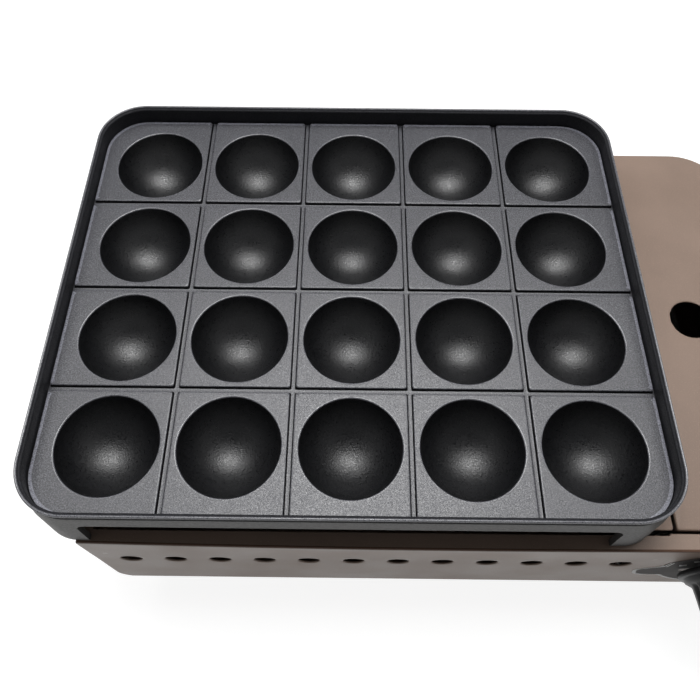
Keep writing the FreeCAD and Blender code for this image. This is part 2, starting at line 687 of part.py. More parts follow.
def burner_tray():
    """Pressed tray below the burner: flange, walls and floor in one thin shell."""
    flange_top = TOP_Z - SHEET
    flange = slab(well_corners(WELL_LIP), flange_top - TRAY_SHEET, flange_top)
    walls = slab(well_corners(TRAY_SHEET + 0.4), TRAY_FLOOR_Z, flange_top)
    hollow = slab(well_corners(0.4), TRAY_FLOOR_Z + TRAY_SHEET, TOP_Z)
    tray = fused([flange, walls]).cut(hollow)
    mixer = post_x(MIXER_RADIUS + 0.8, BAR_SIDES, 0.0, BURNER_Z, WELL_HALF_X - 6.0,
                   WELL_HALF_X + 6.0)
    electrode = post_z(ELECTRODE_R + 0.3, 12, ELECTRODE_X, ELECTRODE_Y,
                       TRAY_FLOOR_Z - 1.0, TRAY_FLOOR_Z + 2.0)
    vents = []
    for x in (-60.0, 0.0, 60.0):
        for y in (-65.0, 65.0):
            vents.append(slab(bevelled(x - 15.0, x + 15.0, y - 3.0, y + 3.0, 1.8),
                              TRAY_FLOOR_Z - 1.0, TRAY_FLOOR_Z + 2.0))
    return tray.cut([mixer, electrode] + vents)


# ---- burner --------------------------------------------------------------------
def burner():
    """Three bars on one cross tube, with a row of flame ports across each."""
    solids = []
    for y in bar_rows():
        solids.append(post_x(BAR_RADIUS, BAR_SIDES, y, BURNER_Z, -BAR_HALF_LENGTH,
                             MANIFOLD_X))
    reach = (BAR_COUNT - 1) / 2.0 * BAR_PITCH + BAR_RADIUS + 2.0
    solids.append(post_y(MANIFOLD_RADIUS, BAR_SIDES, MANIFOLD_X, BURNER_Z, -reach, reach))
    body = fused(solids)
    step = 2.0 * (BAR_HALF_LENGTH - 8.0) / PORTS_PER_BAR
    cuts = []
    for y in bar_rows():
        for i in range(PORTS_PER_BAR):
            x = -BAR_HALF_LENGTH + 8.0 + (i + 0.5) * step
            cuts.append(box(x - PORT_WIDTH / 2.0, x + PORT_WIDTH / 2.0,
                            y - BAR_RADIUS, y + BAR_RADIUS,
                            BURNER_Z + BAR_RADIUS - PORT_DEPTH, BURNER_Z + 20.0))
    cuts.append(post_x(MIXER_RADIUS, BAR_SIDES, 0.0, BURNER_Z, MANIFOLD_X + 2.0,
                       MANIFOLD_X + 20.0))
    return body.cut(cuts)


def mixing_tube():
    """Straight mixing tube whose mouth takes air in beside the jet."""
    start = MANIFOLD_X + 2.0
    outside = post_x(MIXER_RADIUS, BAR_SIDES, 0.0, BURNER_Z, start, MIXER_MOUTH_X)
    bore = post_x(MIXER_BORE, BAR_SIDES, 0.0, BURNER_Z, start - 1.0, MIXER_MOUTH_X + 1.0)
    return outside.cut(bore)


def saddle(x):
    """Bent bracket that carries the bars: a strip on the tray floor with three rests."""
    base_z = TRAY_FLOOR_Z + TRAY_SHEET
    solids = []
    reach = (BAR_COUNT - 1) / 2.0 * BAR_PITCH + 12.0
    solids.append(box(x - 6.0, x + 6.0, -reach, reach, base_z, base_z + SADDLE_SHEET))
    for y in bar_rows():
        solids.append(box(x - SADDLE_SHEET / 2.0, x + SADDLE_SHEET / 2.0,
                          y - 6.0, y + 6.0, base_z, BURNER_Z - 3.0))
    bracket = fused(solids)
    bars = [post_x(BAR_RADIUS, BAR_SIDES, y, BURNER_Z, x - 10.0, x + 10.0)
            for y in bar_rows()]
    return bracket.cut(bars)


def pipe_points():
    """Gas pipe's route from the valve, through the shield, to the jet."""
    y = VALVE_FRONT_Y + VALVE_LENGTH / 2.0
    return [
        Vector(VALVE_PORT_X, y, BURNER_Z),
        Vector(PIPE_X, y, BURNER_Z),
        Vector(PIPE_X, JET_FRONT_Y, BURNER_Z),
    ]


def gas_pipe():
    """Pipe along its route."""
    return bent_rod(pipe_points(), PIPE_BEND, PIPE_RADIUS, 10)


def jet():
    """Elbow block with the brass jet that points into the mixing tube."""
    tip_x = MIXER_MOUTH_X + NOZZLE_GAP
    block = box(PIPE_X - JET_HALF, PIPE_X + 5.0, JET_FRONT_Y, 6.0, BURNER_Z - 6.0,
                BURNER_Z + 6.0)
    tip = banded([ring(0.0, BURNER_Z, 1.2, 12, upright_yz(tip_x)),
                  ring(0.0, BURNER_Z, 3.4, 12, upright_yz(PIPE_X - JET_HALF))])
    return fused([block, tip])


# ---- canister bay --------------------------------------------------------------
def heat_shield():
    """Upright sheet between burner and canister, with a foot and a top flange."""
    front = CASE_FRONT + 8.0
    rear = CASE_REAR - PAN_INSET - SHEET - 1.0
    top = TOP_Z - SHEET
    wall = box(SHIELD_X, SHIELD_X + SHEET, front, rear, FLOOR_Z, top)
    foot = box(SHIELD_X - 12.0, SHIELD_X + SHEET, front + 8.0, rear - 14.0, FLOOR_Z,
               FLOOR_Z + SHEET)
    flange = box(SHIELD_X, TOP_RIGHT - 0.3, front + 2.0, rear, top - SHEET, top)
    shield = fused([wall, foot, flange])
    pipe_y = VALVE_FRONT_Y + VALVE_LENGTH / 2.0
    left = SHIELD_X - 2.0
    right = SHIELD_X + 3.0
    cuts = [post_x(PIPE_RADIUS + 1.0, 12, pipe_y, BURNER_Z, left, right)]
    cuts.append(post_x(LEAD_R + 1.0, 12, pipe_y, LEAD_Z, left, right))
    # corners left out over the front panel's foot and the pan's rounded rear edge
    cuts.append(box(SHIELD_X - 20.0, right, front - 1.0,
                    CASE_FRONT + SHEET + RETURN_FLANGE + 0.5, 0.0, FLOOR_Z + SHEET + 0.5))
    cuts.append(box(SHIELD_X - 20.0, right, rear - 12.0, rear + 1.0, 0.0,
                    FLOOR_Z + BOTTOM_EDGE_R))
    cuts += screw_holes(shield_screw_places(), SCREW_R, FLOOR_Z - 1.0, FLOOR_Z + 2.0)
    for i in range(5):
        y = -45.0 + 30.0 * i
        slot = outline(bevelled(y - 9.0, y + 9.0, 80.0, 86.0, 1.8), upright_yz(left))
        cuts.append(slot.extrude(Vector(right - left, 0, 0)))
    return shield.cut(cuts)


def canister_cradle():
    """Curved trough that a gas canister lies in, on two folded feet."""
    across = math.sin(CRADLE_ANGLE)
    down = math.cos(CRADLE_ANGLE)
    outer = CRADLE_R + SHEET

    def at(radius, side):
        return Vector(CANISTER_X + side * radius * across, CRADLE_FRONT_Y,
                      CANISTER_Z - radius * down)

    under = Vector(CANISTER_X, CRADLE_FRONT_Y, CANISTER_Z - outer)
    over = Vector(CANISTER_X, CRADLE_FRONT_Y, CANISTER_Z - CRADLE_R)
    edges = [
        Part.Arc(at(outer, -1), under, at(outer, 1)).toShape(),
        Part.LineSegment(at(outer, 1), at(CRADLE_R, 1)).toShape(),
        Part.Arc(at(CRADLE_R, 1), over, at(CRADLE_R, -1)).toShape(),
        Part.LineSegment(at(CRADLE_R, -1), at(outer, -1)).toShape(),
    ]
    length = CRADLE_REAR_Y - CRADLE_FRONT_Y
    solids = [Part.Face(Part.Wire(edges)).extrude(Vector(0, length, 0))]
    edge_z = CANISTER_Z - CRADLE_R * down
    for side in (-1, 1):
        x = CANISTER_X + side * CRADLE_R * across
        low, high = sorted((x, x + side * SHEET))
        solids.append(box(low, high, CRADLE_FRONT_Y, CRADLE_REAR_Y, FLOOR_Z, edge_z))
    return fused(solids)


def valve_body():
    """Die-cast regulator and tap behind the knob, with the canister's socket."""
    y0 = VALVE_FRONT_Y
    y1 = VALVE_REAR_Y
    main = post_y(VALVE_R, 20, CANISTER_X, CANISTER_Z, y0, y1)
    side = post_x(5.0, 10, (y0 + y1) / 2.0, BURNER_Z, VALVE_PORT_X, CANISTER_X)
    socket = post_y(SOCKET_R, 20, CANISTER_X, CANISTER_Z, y1, y1 + SOCKET_LENGTH)
    foot = box(CANISTER_X - VALVE_R + 7.0, CANISTER_X + VALVE_R - 7.0, y0, y1, FLOOR_Z + SHEET,
               CANISTER_Z - VALVE_R + 3.0)
    body = fused([main, side, socket, foot])
    shaft = rod_y(SHAFT_R + RUN_GAP, KNOB_X, KNOB_Z, y0 - 1.0, y0 + SHAFT_IN_VALVE + 0.5)
    socket_bore = rod_y(SOCKET_BORE_R, CANISTER_X, CANISTER_Z, y1 - 2.0,
                        y1 + SOCKET_LENGTH + 1.0)
    return body.cut([shaft, socket_bore])


def magnet_pair(y0, y1):
    """Two round magnets beside the socket, between two depths."""
    return [post_y(MAGNET_R, 16, CANISTER_X + side * MAGNET_OFFSET, CANISTER_Z, y0, y1)
            for side in (-1, 1)]


def canister_guide():
    """Upright plate around the socket whose tab finds the canister's notch."""
    y = VALVE_REAR_Y
    plate = post_y(GUIDE_R, 24, CANISTER_X, CANISTER_Z, y, y + SHEET)
    tab = box(CANISTER_X - 2.5, CANISTER_X + 2.5, y, y + GUIDE_TAB,
              CANISTER_Z + GUIDE_R - 8.0, CANISTER_Z + GUIDE_R - 2.0)
    guide = fused([plate, tab])
    socket = post_y(SOCKET_R, 20, CANISTER_X, CANISTER_Z, y - 1.0, y + 3.0)
    floor = box(CANISTER_X - 40.0, CANISTER_X + 40.0, y - 1.0, y + 9.0, 0.0,
                FLOOR_Z + SHEET)
    return guide.cut(magnet_pair(y - 1.0, y + 3.0) + [socket, floor])


def magnets():
    """The two magnets that hold the canister's rim."""
    y = VALVE_REAR_Y
    return Part.makeCompound(magnet_pair(y, y + SHEET + 2.0))


# ---- lid -----------------------------------------------------------------------
def hinge_rows():
    """Y of the two hinges: front, rear."""
    return {"front": -HINGE_OFFSET_Y, "rear": HINGE_OFFSET_Y}


def hinge_half():
    """Half of a hinge's length along its pin."""
    return KNUCKLE_MID / 2.0 + KNUCKLE_GAP + KNUCKLE_END


def canister_lid():
    """Lid: flat sheet turned down all round, with a finger hole."""
    r = REAR_CORNER_R
    corners = rectangle(LID_LEFT, CASE_RIGHT, TOP_FRONT, CASE_REAR, 0, 0, r, 0)
    lid = slab(corners, TOP_Z - TOP_SKIRT, TOP_Z)
    inside = rectangle(LID_LEFT + SHEET, CASE_RIGHT - SHEET, TOP_FRONT + SHEET,
                       CASE_REAR - SHEET, 0, 0, r - SHEET, 0)
    lid = lid.cut(slab(inside, TOP_Z - TOP_SKIRT - 1.0, TOP_Z - SHEET))
    low = TOP_Z - TOP_SKIRT - 1.0
    cuts = [box(LID_LEFT - 1.0, LID_LEFT + SHEET, TOP_FRONT - 1.0, CASE_REAR + 1.0,
                low, TOP_Z - LID_SKIRT)]
    cuts.append(box(LID_LEFT - 1.0, CASE_RIGHT + 1.0, TOP_FRONT - 1.0,
                    TOP_FRONT + SHEET, low, TOP_Z - LID_SKIRT))
    # the left edge stops short of the pan's rear wall
    cuts.append(box(LID_LEFT - 1.0, LID_LEFT + SHEET,
                    CASE_REAR - PAN_INSET - SHEET - 0.5, CASE_REAR - SHEET, low,
                    TOP_Z - SHEET))
    cuts.append(rod_z(HOLE_R, HOLE_X, HOLE_Y, TOP_Z - 3.0, TOP_Z + 1.0))
    notch = hinge_half() + HINGE_NOTCH
    for y in hinge_rows().values():
        cuts.append(box(CASE_RIGHT - SHEET - 0.5, CASE_RIGHT + 1.0, y - notch, y + notch,
                        low, TOP_Z - SHEET))
    return lid.cut(cuts)


def fixed_leaf(y):
    """Hinge leaf on the casing's side wall, with the middle knuckle."""
    half = KNUCKLE_MID / 2.0
    wall_x = CASE_RIGHT - PAN_INSET - SHEET
    knuckle = post_y(KNUCKLE_R, KNUCKLE_SIDES, HINGE_X, HINGE_Z, y - half, y + half)
    stem = box(HINGE_X, wall_x, y - half, y + half, HINGE_Z - 9.0, HINGE_Z)
    leaf = box(wall_x - SHEET, wall_x, y - hinge_half(), y + hinge_half(),
               HINGE_Z - 30.0, HINGE_Z - 8.0)
    bore = rod_y(PIN_R + RUN_GAP, HINGE_X, HINGE_Z, y - half - 1.0, y + half + 1.0)
    return fused([knuckle, stem, leaf]).cut(bore)


def lid_leaf(y):
    """Hinge leaf under the lid, with the two outer knuckles."""
    inner = KNUCKLE_MID / 2.0 + KNUCKLE_GAP
    outer = hinge_half()
    solids = [box(HINGE_X - 18.0, HINGE_X, y - outer, y + outer,
                  TOP_Z - 2.0 * SHEET, TOP_Z - SHEET)]
    for side in (-1, 1):
        low, high = sorted((y + side * inner, y + side * outer))
        solids.append(post_y(KNUCKLE_R, KNUCKLE_SIDES, HINGE_X, HINGE_Z, low, high))
        solids.append(box(HINGE_X - KNUCKLE_R * 0.9, HINGE_X, low, high, HINGE_Z,
                          TOP_Z - SHEET))
    bore = rod_y(PIN_R, HINGE_X, HINGE_Z, y - outer - 1.0, y + outer + 1.0)
    return fused(solids).cut(bore)


def hinge_pin(y):
    """Pin through all three knuckles."""
    half = hinge_half() + 0.6
    return rod_y(PIN_R, HINGE_X, HINGE_Z, y - half, y + half)


# ---- knob ----------------------------------------------------------------------
def grip_ring(scale, y):
    """Corners of the fluted grip at depth y, scaled about the knob's axis."""
    corners = []
    for i in range(KNOB_FLUTES):
        for share, radius in ((-0.32, KNOB_GRIP_R), (0.0, KNOB_GRIP_R),
                              (0.32, KNOB_GRIP_R), (0.5, KNOB_GRIP_R - FLUTE_DEPTH)):
            angle = 2.0 * math.pi * (i + share) / KNOB_FLUTES
            corners.append(Vector(KNOB_X + scale * radius * math.sin(angle), y,
                                  KNOB_Z + scale * radius * math.cos(angle)))
    return corners


def knob():
    """Round knob: flange, fluted grip that narrows to its front, shaft hole."""
    back = KNOB_BACK_Y
    flange = banded([
        ring(KNOB_X, KNOB_Z, KNOB_FLANGE_R, 32, upright_xz(back)),
        ring(KNOB_X, KNOB_Z, KNOB_FLANGE_R, 32, upright_xz(back - KNOB_FLANGE + 1.5)),
        ring(KNOB_X, KNOB_Z, KNOB_FLANGE_R - 1.5, 32, upright_xz(back - KNOB_FLANGE)),
    ])
    narrow = KNOB_TIP_R / KNOB_GRIP_R
    grip = banded([
        grip_ring(1.0, back - KNOB_FLANGE + 0.5),
        grip_ring(narrow, KNOB_TIP_Y + 1.2),
        grip_ring(narrow - 0.07, KNOB_TIP_Y),
    ])
    bore = rod_y(SHAFT_R, KNOB_X, KNOB_Z, back - SHAFT_SEAT, back + 1.0)
    return fused([flange, grip]).cut(bore)


def knob_shaft():
    """Steel spindle from the knob through the panel into the valve."""
    front = KNOB_BACK_Y - SHAFT_SEAT
    rear = VALVE_FRONT_Y + SHAFT_IN_VALVE
    return rod_y(SHAFT_R, KNOB_X, KNOB_Z, front, rear)


def dial_plate():
    """Thin round plate on the panel behind the knob, its back shaped to the panel."""
    front = KNOB_BACK_Y + KNOB_GAP
    disc = post_y(DIAL_R, 32, KNOB_X, KNOB_Z, front, CASE_FRONT)
    behind = [(x, y, 0) for x, y in front_line()]
    behind += [(CASE_RIGHT, CASE_FRONT + 9.0, 0), (CASE_LEFT, CASE_FRONT + 9.0, 0)]
    panel = slab(behind, CASE_BOTTOM_Z, TOP_Z)
    hole = rod_y(SHAFT_R + 1.5, KNOB_X, KNOB_Z, front - 2.0, front + 4.0)
    return disc.cut([panel, hole])


# ---- igniter -------------------------------------------------------------------
def igniter_y():
    return VALVE_FRONT_Y + VALVE_LENGTH / 2.0


def igniter():
    """Piezo unit on the casing floor beside the valve."""
    y = igniter_y()
    half = IGNITER_SIZE / 2.0
    case = box(IGNITER_X, IGNITER_X + IGNITER_LENGTH, y - half, y + half,
               FLOOR_Z + SHEET, IGNITER_Z)
    plunger = post_z(3.2, 12, IGNITER_X + IGNITER_LENGTH / 2.0, y, IGNITER_Z,
                     IGNITER_Z + 5.0)
    return fused([case, plunger])


def electrode():
    """Ceramic spark plug through the tray, on a collar."""
    body = post_z(ELECTRODE_R, 12, ELECTRODE_X, ELECTRODE_Y, ELECTRODE_LOW_Z,
                  BURNER_Z + 3.0)
    collar_z = TRAY_FLOOR_Z + TRAY_SHEET
    collar = post_z(ELECTRODE_R + 2.0, 12, ELECTRODE_X, ELECTRODE_Y, collar_z,
                    collar_z + 3.0)
    return fused([body, collar])


def spark_wire():
    """Bent steel wire out of the ceramic's top, towards the middle bar."""
    base = Vector(ELECTRODE_X, ELECTRODE_Y, BURNER_Z + 3.0)
    route = [base, base + Vector(0, 0, 7.0), base + Vector(0, 8.0, 7.0)]
    return bent_rod(route, 2.5, 0.8, 8)


def lead_points():
    """Igniter lead's route under the tray, from the piezo unit to the electrode."""
    y = igniter_y()
    return [
        Vector(IGNITER_X, y, LEAD_Z),
        Vector(ELECTRODE_X, y, LEAD_Z),
        Vector(ELECTRODE_X, ELECTRODE_Y, LEAD_Z),
        Vector(ELECTRODE_X, ELECTRODE_Y, ELECTRODE_LOW_Z),
    ]


def igniter_lead():
    """Lead held along its whole route."""
    return bent_rod(lead_points(), 4.0, LEAD_R, 8)


# ---- feet and fasteners --------------------------------------------------------
def foot(x, y):
    """Moulded leg under the casing, recessed for its rubber pad."""
    low = PAD_HEIGHT - PAD_RECESS
    body = banded([ring(x, y, FOOT_LOW_R, FOOT_SIDES, level(low)),
                   ring(x, y, FOOT_TOP_R, FOOT_SIDES, level(CASE_BOTTOM_Z))])
    recess = post_z(PAD_R, FOOT_SIDES, x, y, low - 1.0, PAD_HEIGHT)
    bore = post_z(SCREW_R, SCREW_SIDES, x, y, PAD_HEIGHT - 1.0, CASE_BOTTOM_Z + 1.0)
    return body.cut([recess, bore])


def foot_pads():
    """Rubber pads that the cooker stands on."""
    pads = [post_z(PAD_R, FOOT_SIDES, x, y, 0.0, PAD_HEIGHT)
            for x, y in foot_centres().values()]
    return Part.makeCompound(pads)


def floor_screws():
    """Screws from below into the front panel's foot and the heat shield's foot."""
    places = flange_screw_places() + shield_screw_places()
    z = CASE_BOTTOM_Z
    screws = [screw(x, y, z, z + 5.0, z - HEAD_H, z) for x, y in places]
    return Part.makeCompound(screws)


def foot_screws():
    """Screws from inside the casing into the four feet."""
    z = FLOOR_Z
    screws = [screw(x, y, CASE_BOTTOM_Z - 9.0, z, z, z + HEAD_H)
              for x, y in foot_centres().values()]
    return Part.makeCompound(screws)


def main():
    os.makedirs("parts", exist_ok=True)
    write("cooking_plate", cooking_plate())
    write("case_pan", case_pan())
    write("front_panel", front_panel())
    write("top_panel", top_panel())
    write("burner_tray", burner_tray())
    write("burner", burner())
    write("mixing_tube", mixing_tube())
    write("burner_saddle_left", saddle(-BAR_HALF_LENGTH + 12.0))
    write("burner_saddle_right", saddle(BAR_HALF_LENGTH - 12.0))
    write("gas_pipe", gas_pipe())
    write("gas_jet", jet())
    write("heat_shield", heat_shield())
    write("canister_cradle", canister_cradle())
    write("valve_body", valve_body())
    write("canister_guide", canister_guide())
    write("holding_magnets", magnets())
    write("canister_lid", canister_lid())
    for name, y in hinge_rows().items():
        write("fixed_hinge_leaf_" + name, fixed_leaf(y))
        write("lid_hinge_leaf_" + name, lid_leaf(y))
        write("hinge_pin_" + name, hinge_pin(y))
    write("knob", knob())
    write("knob_shaft", knob_shaft())
    write("dial_plate", dial_plate())
    write("piezo_igniter", igniter())
    write("spark_electrode", electrode())
    write("spark_wire", spark_wire())
    write("igniter_lead", igniter_lead())
    for name, (x, y) in foot_centres().items():
        write("foot_" + name, foot(x, y))
    write("foot_pads", foot_pads())
    write("floor_screws", floor_screws())
    write("foot_screws", foot_screws())


main()
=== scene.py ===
"""Looks of a table-top gas cooker with a cast plate of twenty round cups.

Each operator builds one piece, or a group of like pieces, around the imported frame.
Everything is in metres, in the frame's own axes: +Y away from the user, +Z up.
"""
import json
import math

import bmesh
import bpy
import numpy as np
from mathutils import Matrix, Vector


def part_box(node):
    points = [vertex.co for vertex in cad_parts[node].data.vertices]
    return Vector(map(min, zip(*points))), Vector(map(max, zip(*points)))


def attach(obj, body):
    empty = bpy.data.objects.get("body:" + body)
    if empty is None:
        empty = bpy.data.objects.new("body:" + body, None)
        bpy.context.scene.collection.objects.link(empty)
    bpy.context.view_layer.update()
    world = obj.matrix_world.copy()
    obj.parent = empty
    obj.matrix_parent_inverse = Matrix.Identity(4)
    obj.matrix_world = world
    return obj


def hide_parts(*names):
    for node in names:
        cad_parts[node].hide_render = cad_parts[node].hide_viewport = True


bl_info = {
    "name": "Ball-cake Cooker",
    "version": (1, 0, 0),
    "blender": (4, 5, 0),
    "location": "View3D > Sidebar > Cooker",
    "description": "Builds the cast plate, casing, lid, knob and burner of a table cooker",
    "category": "Object",
}

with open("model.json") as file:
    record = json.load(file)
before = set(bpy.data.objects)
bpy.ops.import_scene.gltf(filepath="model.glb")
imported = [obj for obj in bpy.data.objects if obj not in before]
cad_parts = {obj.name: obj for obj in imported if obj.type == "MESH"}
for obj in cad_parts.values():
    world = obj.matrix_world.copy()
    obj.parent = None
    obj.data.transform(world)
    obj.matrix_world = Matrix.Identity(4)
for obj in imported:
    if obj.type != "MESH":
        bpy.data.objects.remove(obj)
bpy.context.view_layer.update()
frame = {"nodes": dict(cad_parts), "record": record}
MM = 0.001
DEG = math.pi / 180.0


def corners_of(node):
    """Lowest and highest corner of a frame node, as arrays."""
    low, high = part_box(node)
    return np.array(low), np.array(high)


PLATE_LOW, PLATE_HIGH = corners_of("cooking_plate")
PLATE_MID = (PLATE_LOW[:2] + PLATE_HIGH[:2]) / 2.0
PANEL_LOW, PANEL_HIGH = corners_of("front_panel")
TOP_LOW, TOP_HIGH = corners_of("top_panel")
LID_LOW, LID_HIGH = corners_of("canister_lid")
PAN_LOW, PAN_HIGH = corners_of("case_pan")
TRAY_LOW, TRAY_HIGH = corners_of("burner_tray")
BURNER_LOW, BURNER_HIGH = corners_of("burner")
BURNER_Z = (BURNER_LOW[2] + BURNER_HIGH[2]) / 2.0
KNOB_LOW, KNOB_HIGH = corners_of("knob")
KNOB_X, _, KNOB_Z = (KNOB_LOW + KNOB_HIGH) / 2.0
CASE_TOP = PANEL_HIGH[2]

# The slot in the strip on top of the front panel: its ends and their rounding.
SLOT_LEFT, SLOT_RIGHT = PANEL_LOW[0] + 6.0 * MM, LID_LOW[0] - 3.4 * MM
SLOT_BEND = 0.8 * MM

# Centres of the first and the last vent in the front.
FIRST_VENT, LAST_VENT = PANEL_LOW[0] + 15.1 * MM, KNOB_X - 47.55 * MM

# Edges of lid and top sheet that are turned down, the gaps in the lid's edge on each
# side of a hinge, and the finger hole's place.
TURNED_DOWN = 6.0 * MM
HINGE_GAP = 15.8 * MM
FINGER_HOLE = np.array([LID_LOW[0] + 29.0 * MM, PLATE_MID[1] + 2.0 * MM])

# The burner well seen from above: half its sizes, and the radius of its corners.
WELL_HALF = np.array([102.0, 90.0]) * MM
WELL_CORNER = 16.0 * MM

# The burner: radius of a bar and of the cross tube, and how far right of the plate's
# middle the cross tube runs.
BAR_RADIUS, MANIFOLD_RADIUS = 7.0 * MM, 8.5 * MM
MANIFOLD_X = PLATE_MID[0] + 92.0 * MM

FEET = ["foot_front_left", "foot_front_right", "foot_rear_left", "foot_rear_right"]

# The camera: its focal length and upward shift as pixels of a render this wide, its
# turns about X, Y and Z in radians, and its place.
RENDER_WIDTH = 700.0
SENSOR_WIDTH = 36.0
CAMERA_FOCUS = 710.898
CAMERA_RISE = 55.0
CAMERA_TURN = (2.6039101, 0.0033976, -0.0103695)
CAMERA_PLACE = (-0.03801, -0.15303, 0.39968)


# ---- sizes and colours a user would change --------------------------------------
def length(name, description, default):
    return bpy.props.FloatProperty(name=name, description=description, default=default,
                                   min=0.0, precision=5, subtype="DISTANCE",
                                   unit="LENGTH")


def count(name, description, default, least=1):
    return bpy.props.IntProperty(name=name, description=description, default=default,
                                 min=least)


def colour(name, description, default):
    return bpy.props.FloatVectorProperty(name=name, description=description,
                                         default=default, size=3, min=0.0, max=1.0,
                                         subtype="COLOR")


class PlateSizes(bpy.types.PropertyGroup):
    """Sizes of the cast plate."""
    columns: count("Columns", "Cups side by side", 5)
    rows: count("Rows", "Cups from front to back", 4)
    pitch: length("Pitch", "From one cup's centre to the next", 0.0489)
    cup_radius: length("Cup radius", "Radius of a cup's hollow", 0.021)
    cup_round: length("Cup edge", "Rounding where a cup meets the cooking face", 0.0006)
    rim_height: length("Rim height", "Lip above the cooking face", 0.010)
    rim_wall: length("Rim wall", "From the rim's inner face to the lip's edge", 0.0013)
    lip_out: length("Lip overhang", "How far the lip stands out", 0.0005)
    rim_corner: length("Rim corner", "Corner radius of the plate's outside", 0.022)
    foot_corner: length("Foot corner", "Corner radius of the skirt's foot", 0.0175)
    flare: length("Skirt flare", "How far the skirt's foot spreads out", 0.0009)
    channel_depth: length("Channel depth", "Depth of the channels", 0.0016)
    floor: length("Floor", "Thickness of the cooking face", 0.003)
    cup_wall: length("Cup wall", "Metal round a cup's hollow", 0.0022)
    band: length("Skirt band", "Skirt left over the openings, below the face", 0.007)
    leg_x: length("Leg along the front", "From the plate's side to the opening", 0.0222)
    leg_y: length("Leg along the side", "From the plate's front to the opening", 0.0216)


class CasingSizes(bpy.types.PropertyGroup):
    """Sizes of the sheet-metal casing and lid."""
    sheet: length("Sheet", "Thickness of the steel sheet", 0.001)
    fold: length("Fold radius", "Outside radius of a folded edge", 0.0010)
    bow: length("Bow", "How far the front bows out", 0.0013)
    seam: length("Seam shift", "How far lid and top sheet reach to the strip", 0.0008)
    rear_corner: length("Rear corner", "Radius of the rear corners", 0.027)
    low_edge: length("Lower edge", "Radius of the lower edge", 0.012)
    vent_radius: length("Vent radius", "Radius of a front vent", 0.00475)
    vent_drop: length("Vent drop", "Vents below the casing's top", 0.031)
    vents: count("Vents", "Vents in the front", 12)
    hole_radius: length("Finger hole", "Radius of the lid's hole", 0.010)


class KnobSizes(bpy.types.PropertyGroup):
    """Sizes of the knob and the print behind it."""
    flange_radius: length("Flange radius", "Radius of the knob's flange", 0.0225)
    flange: length("Flange", "Thickness of the flange", 0.005)
    grip_radius: length("Grip radius", "Radius of the grip at the flange", 0.0175)
    tip_radius: length("Tip radius", "Radius of the grip at its front", 0.0155)
    flutes: count("Flutes", "Flutes round the grip", 10, 3)
    flute_depth: length("Flute depth", "Depth of a flute", 0.0015)
    dial_radius: length("Dial radius", "Radius of the print's disc", 0.031)


class FinishColours(bpy.types.PropertyGroup):
    """Colours of the finishes."""
    coating: colour("Coating", "Non-stick coating", (0.030, 0.031, 0.038))
    paint: colour("Paint", "Casing paint", (0.235, 0.172, 0.137))
    plastic: colour("Plastic", "Knob and feet", (0.010, 0.010, 0.011))
    steel: colour("Steel", "Plain steel", (0.50, 0.50, 0.50))


# ---- surfaces --------------------------------------------------------------------
class Surface:
    """Patches of one piece: points, the corner numbers of quads, and finish numbers."""

    def __init__(self):
        self.points, self.quads, self.finishes = [], [], []
        self.count = 0

    def grid(self, points, finish=0, facing=None, wrap=False, keep=None):
        """Adds rows by columns of points, turned over if their faces look away from
        facing. wrap closes each row in a ring, and keep marks the quads that stay.
        finish is one number, or one for each row of quads, or one for each quad."""
        points = np.stack(points)
        number = np.arange(points.size // 3).reshape(points.shape[:2])
        if wrap:
            number = np.hstack([number, number[:, :1]])
        quads = np.stack([number[:-1, :-1], number[:-1, 1:], number[1:, 1:],
                          number[1:, :-1]], axis=-1)
        finish = np.array(finish, np.int32)
        if finish.ndim == 1:
            finish = finish[:, None]
        if keep is None:
            keep = np.ones(quads.shape[:2], bool)
        finish = np.broadcast_to(finish, keep.shape)[keep]
        quads = quads[keep]
        points = points.reshape(-1, 3)
        if facing is not None:
            a, b, c, d = points[quads.T]
            if (np.cross(c - a, d - b) @ np.array(facing, float)).sum() < 0.0:
                quads = quads[:, ::-1]
        self.points.append(points)
        self.quads.append(quads + self.count)
        self.finishes.append(finish)
        self.count += len(points)

    def mesh(self, name, weld=2e-6, closed=False):
        """The mesh of all patches, welded where they meet; poles become triangles."""
        mesh = bpy.data.meshes.new(name)
        mesh.from_pydata(np.concatenate(self.points).tolist(), [],
                         np.concatenate(self.quads).tolist())
        mesh.polygons.foreach_set("material_index", np.concatenate(self.finishes))
        work = bmesh.new()
        work.from_mesh(mesh)
        bmesh.ops.remove_doubles(work, verts=work.verts, dist=weld)
        bmesh.ops.dissolve_degenerate(work, edges=work.edges, dist=weld / 2.0)
        if closed:
            bmesh.ops.recalc_face_normals(work, faces=work.faces)
        work.to_mesh(mesh)
        work.free()
        return mesh


def piece(name, mesh, body, slot, nodes, finishes=(), sharp=35.0, solid=0.0, bevel=0.0,
          weighted=False):
    """Puts a mesh in the scene as a piece that rides on a body and stands for nodes.
    finishes go by the finish numbers of its faces; without them, it has its slot's."""
    mesh.shade_smooth()
    mesh.set_sharp_from_angle(angle=sharp * DEG)
    for kind in finishes or [slot]:
        mesh.materials.append(finish_of(kind))
    thing = bpy.data.objects.new(name, mesh)
    bpy.context.scene.collection.objects.link(thing)
    if solid:
        wall = thing.modifiers.new("wall", "SOLIDIFY")
        wall.thickness = solid
        wall.offset = -1.0
        wall.use_even_offset = True
    if bevel:
        edge = thing.modifiers.new("edge", "BEVEL")
        edge.width = bevel
        edge.segments = 2
        edge.limit_method = "ANGLE"
        edge.angle_limit = 40.0 * DEG
    if weighted:
        shade = thing.modifiers.new("shade", "WEIGHTED_NORMAL")
        shade.weight = 80
        shade.keep_sharp = True
    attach(thing, body)
    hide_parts(*nodes)
    return thing


def raised(flat, height):
    """Points of a flat array with heights, which may be one number or an array."""
    height = np.broadcast_to(height, flat.shape[:-1])
    return np.concatenate([flat, height[..., None]], axis=-1)


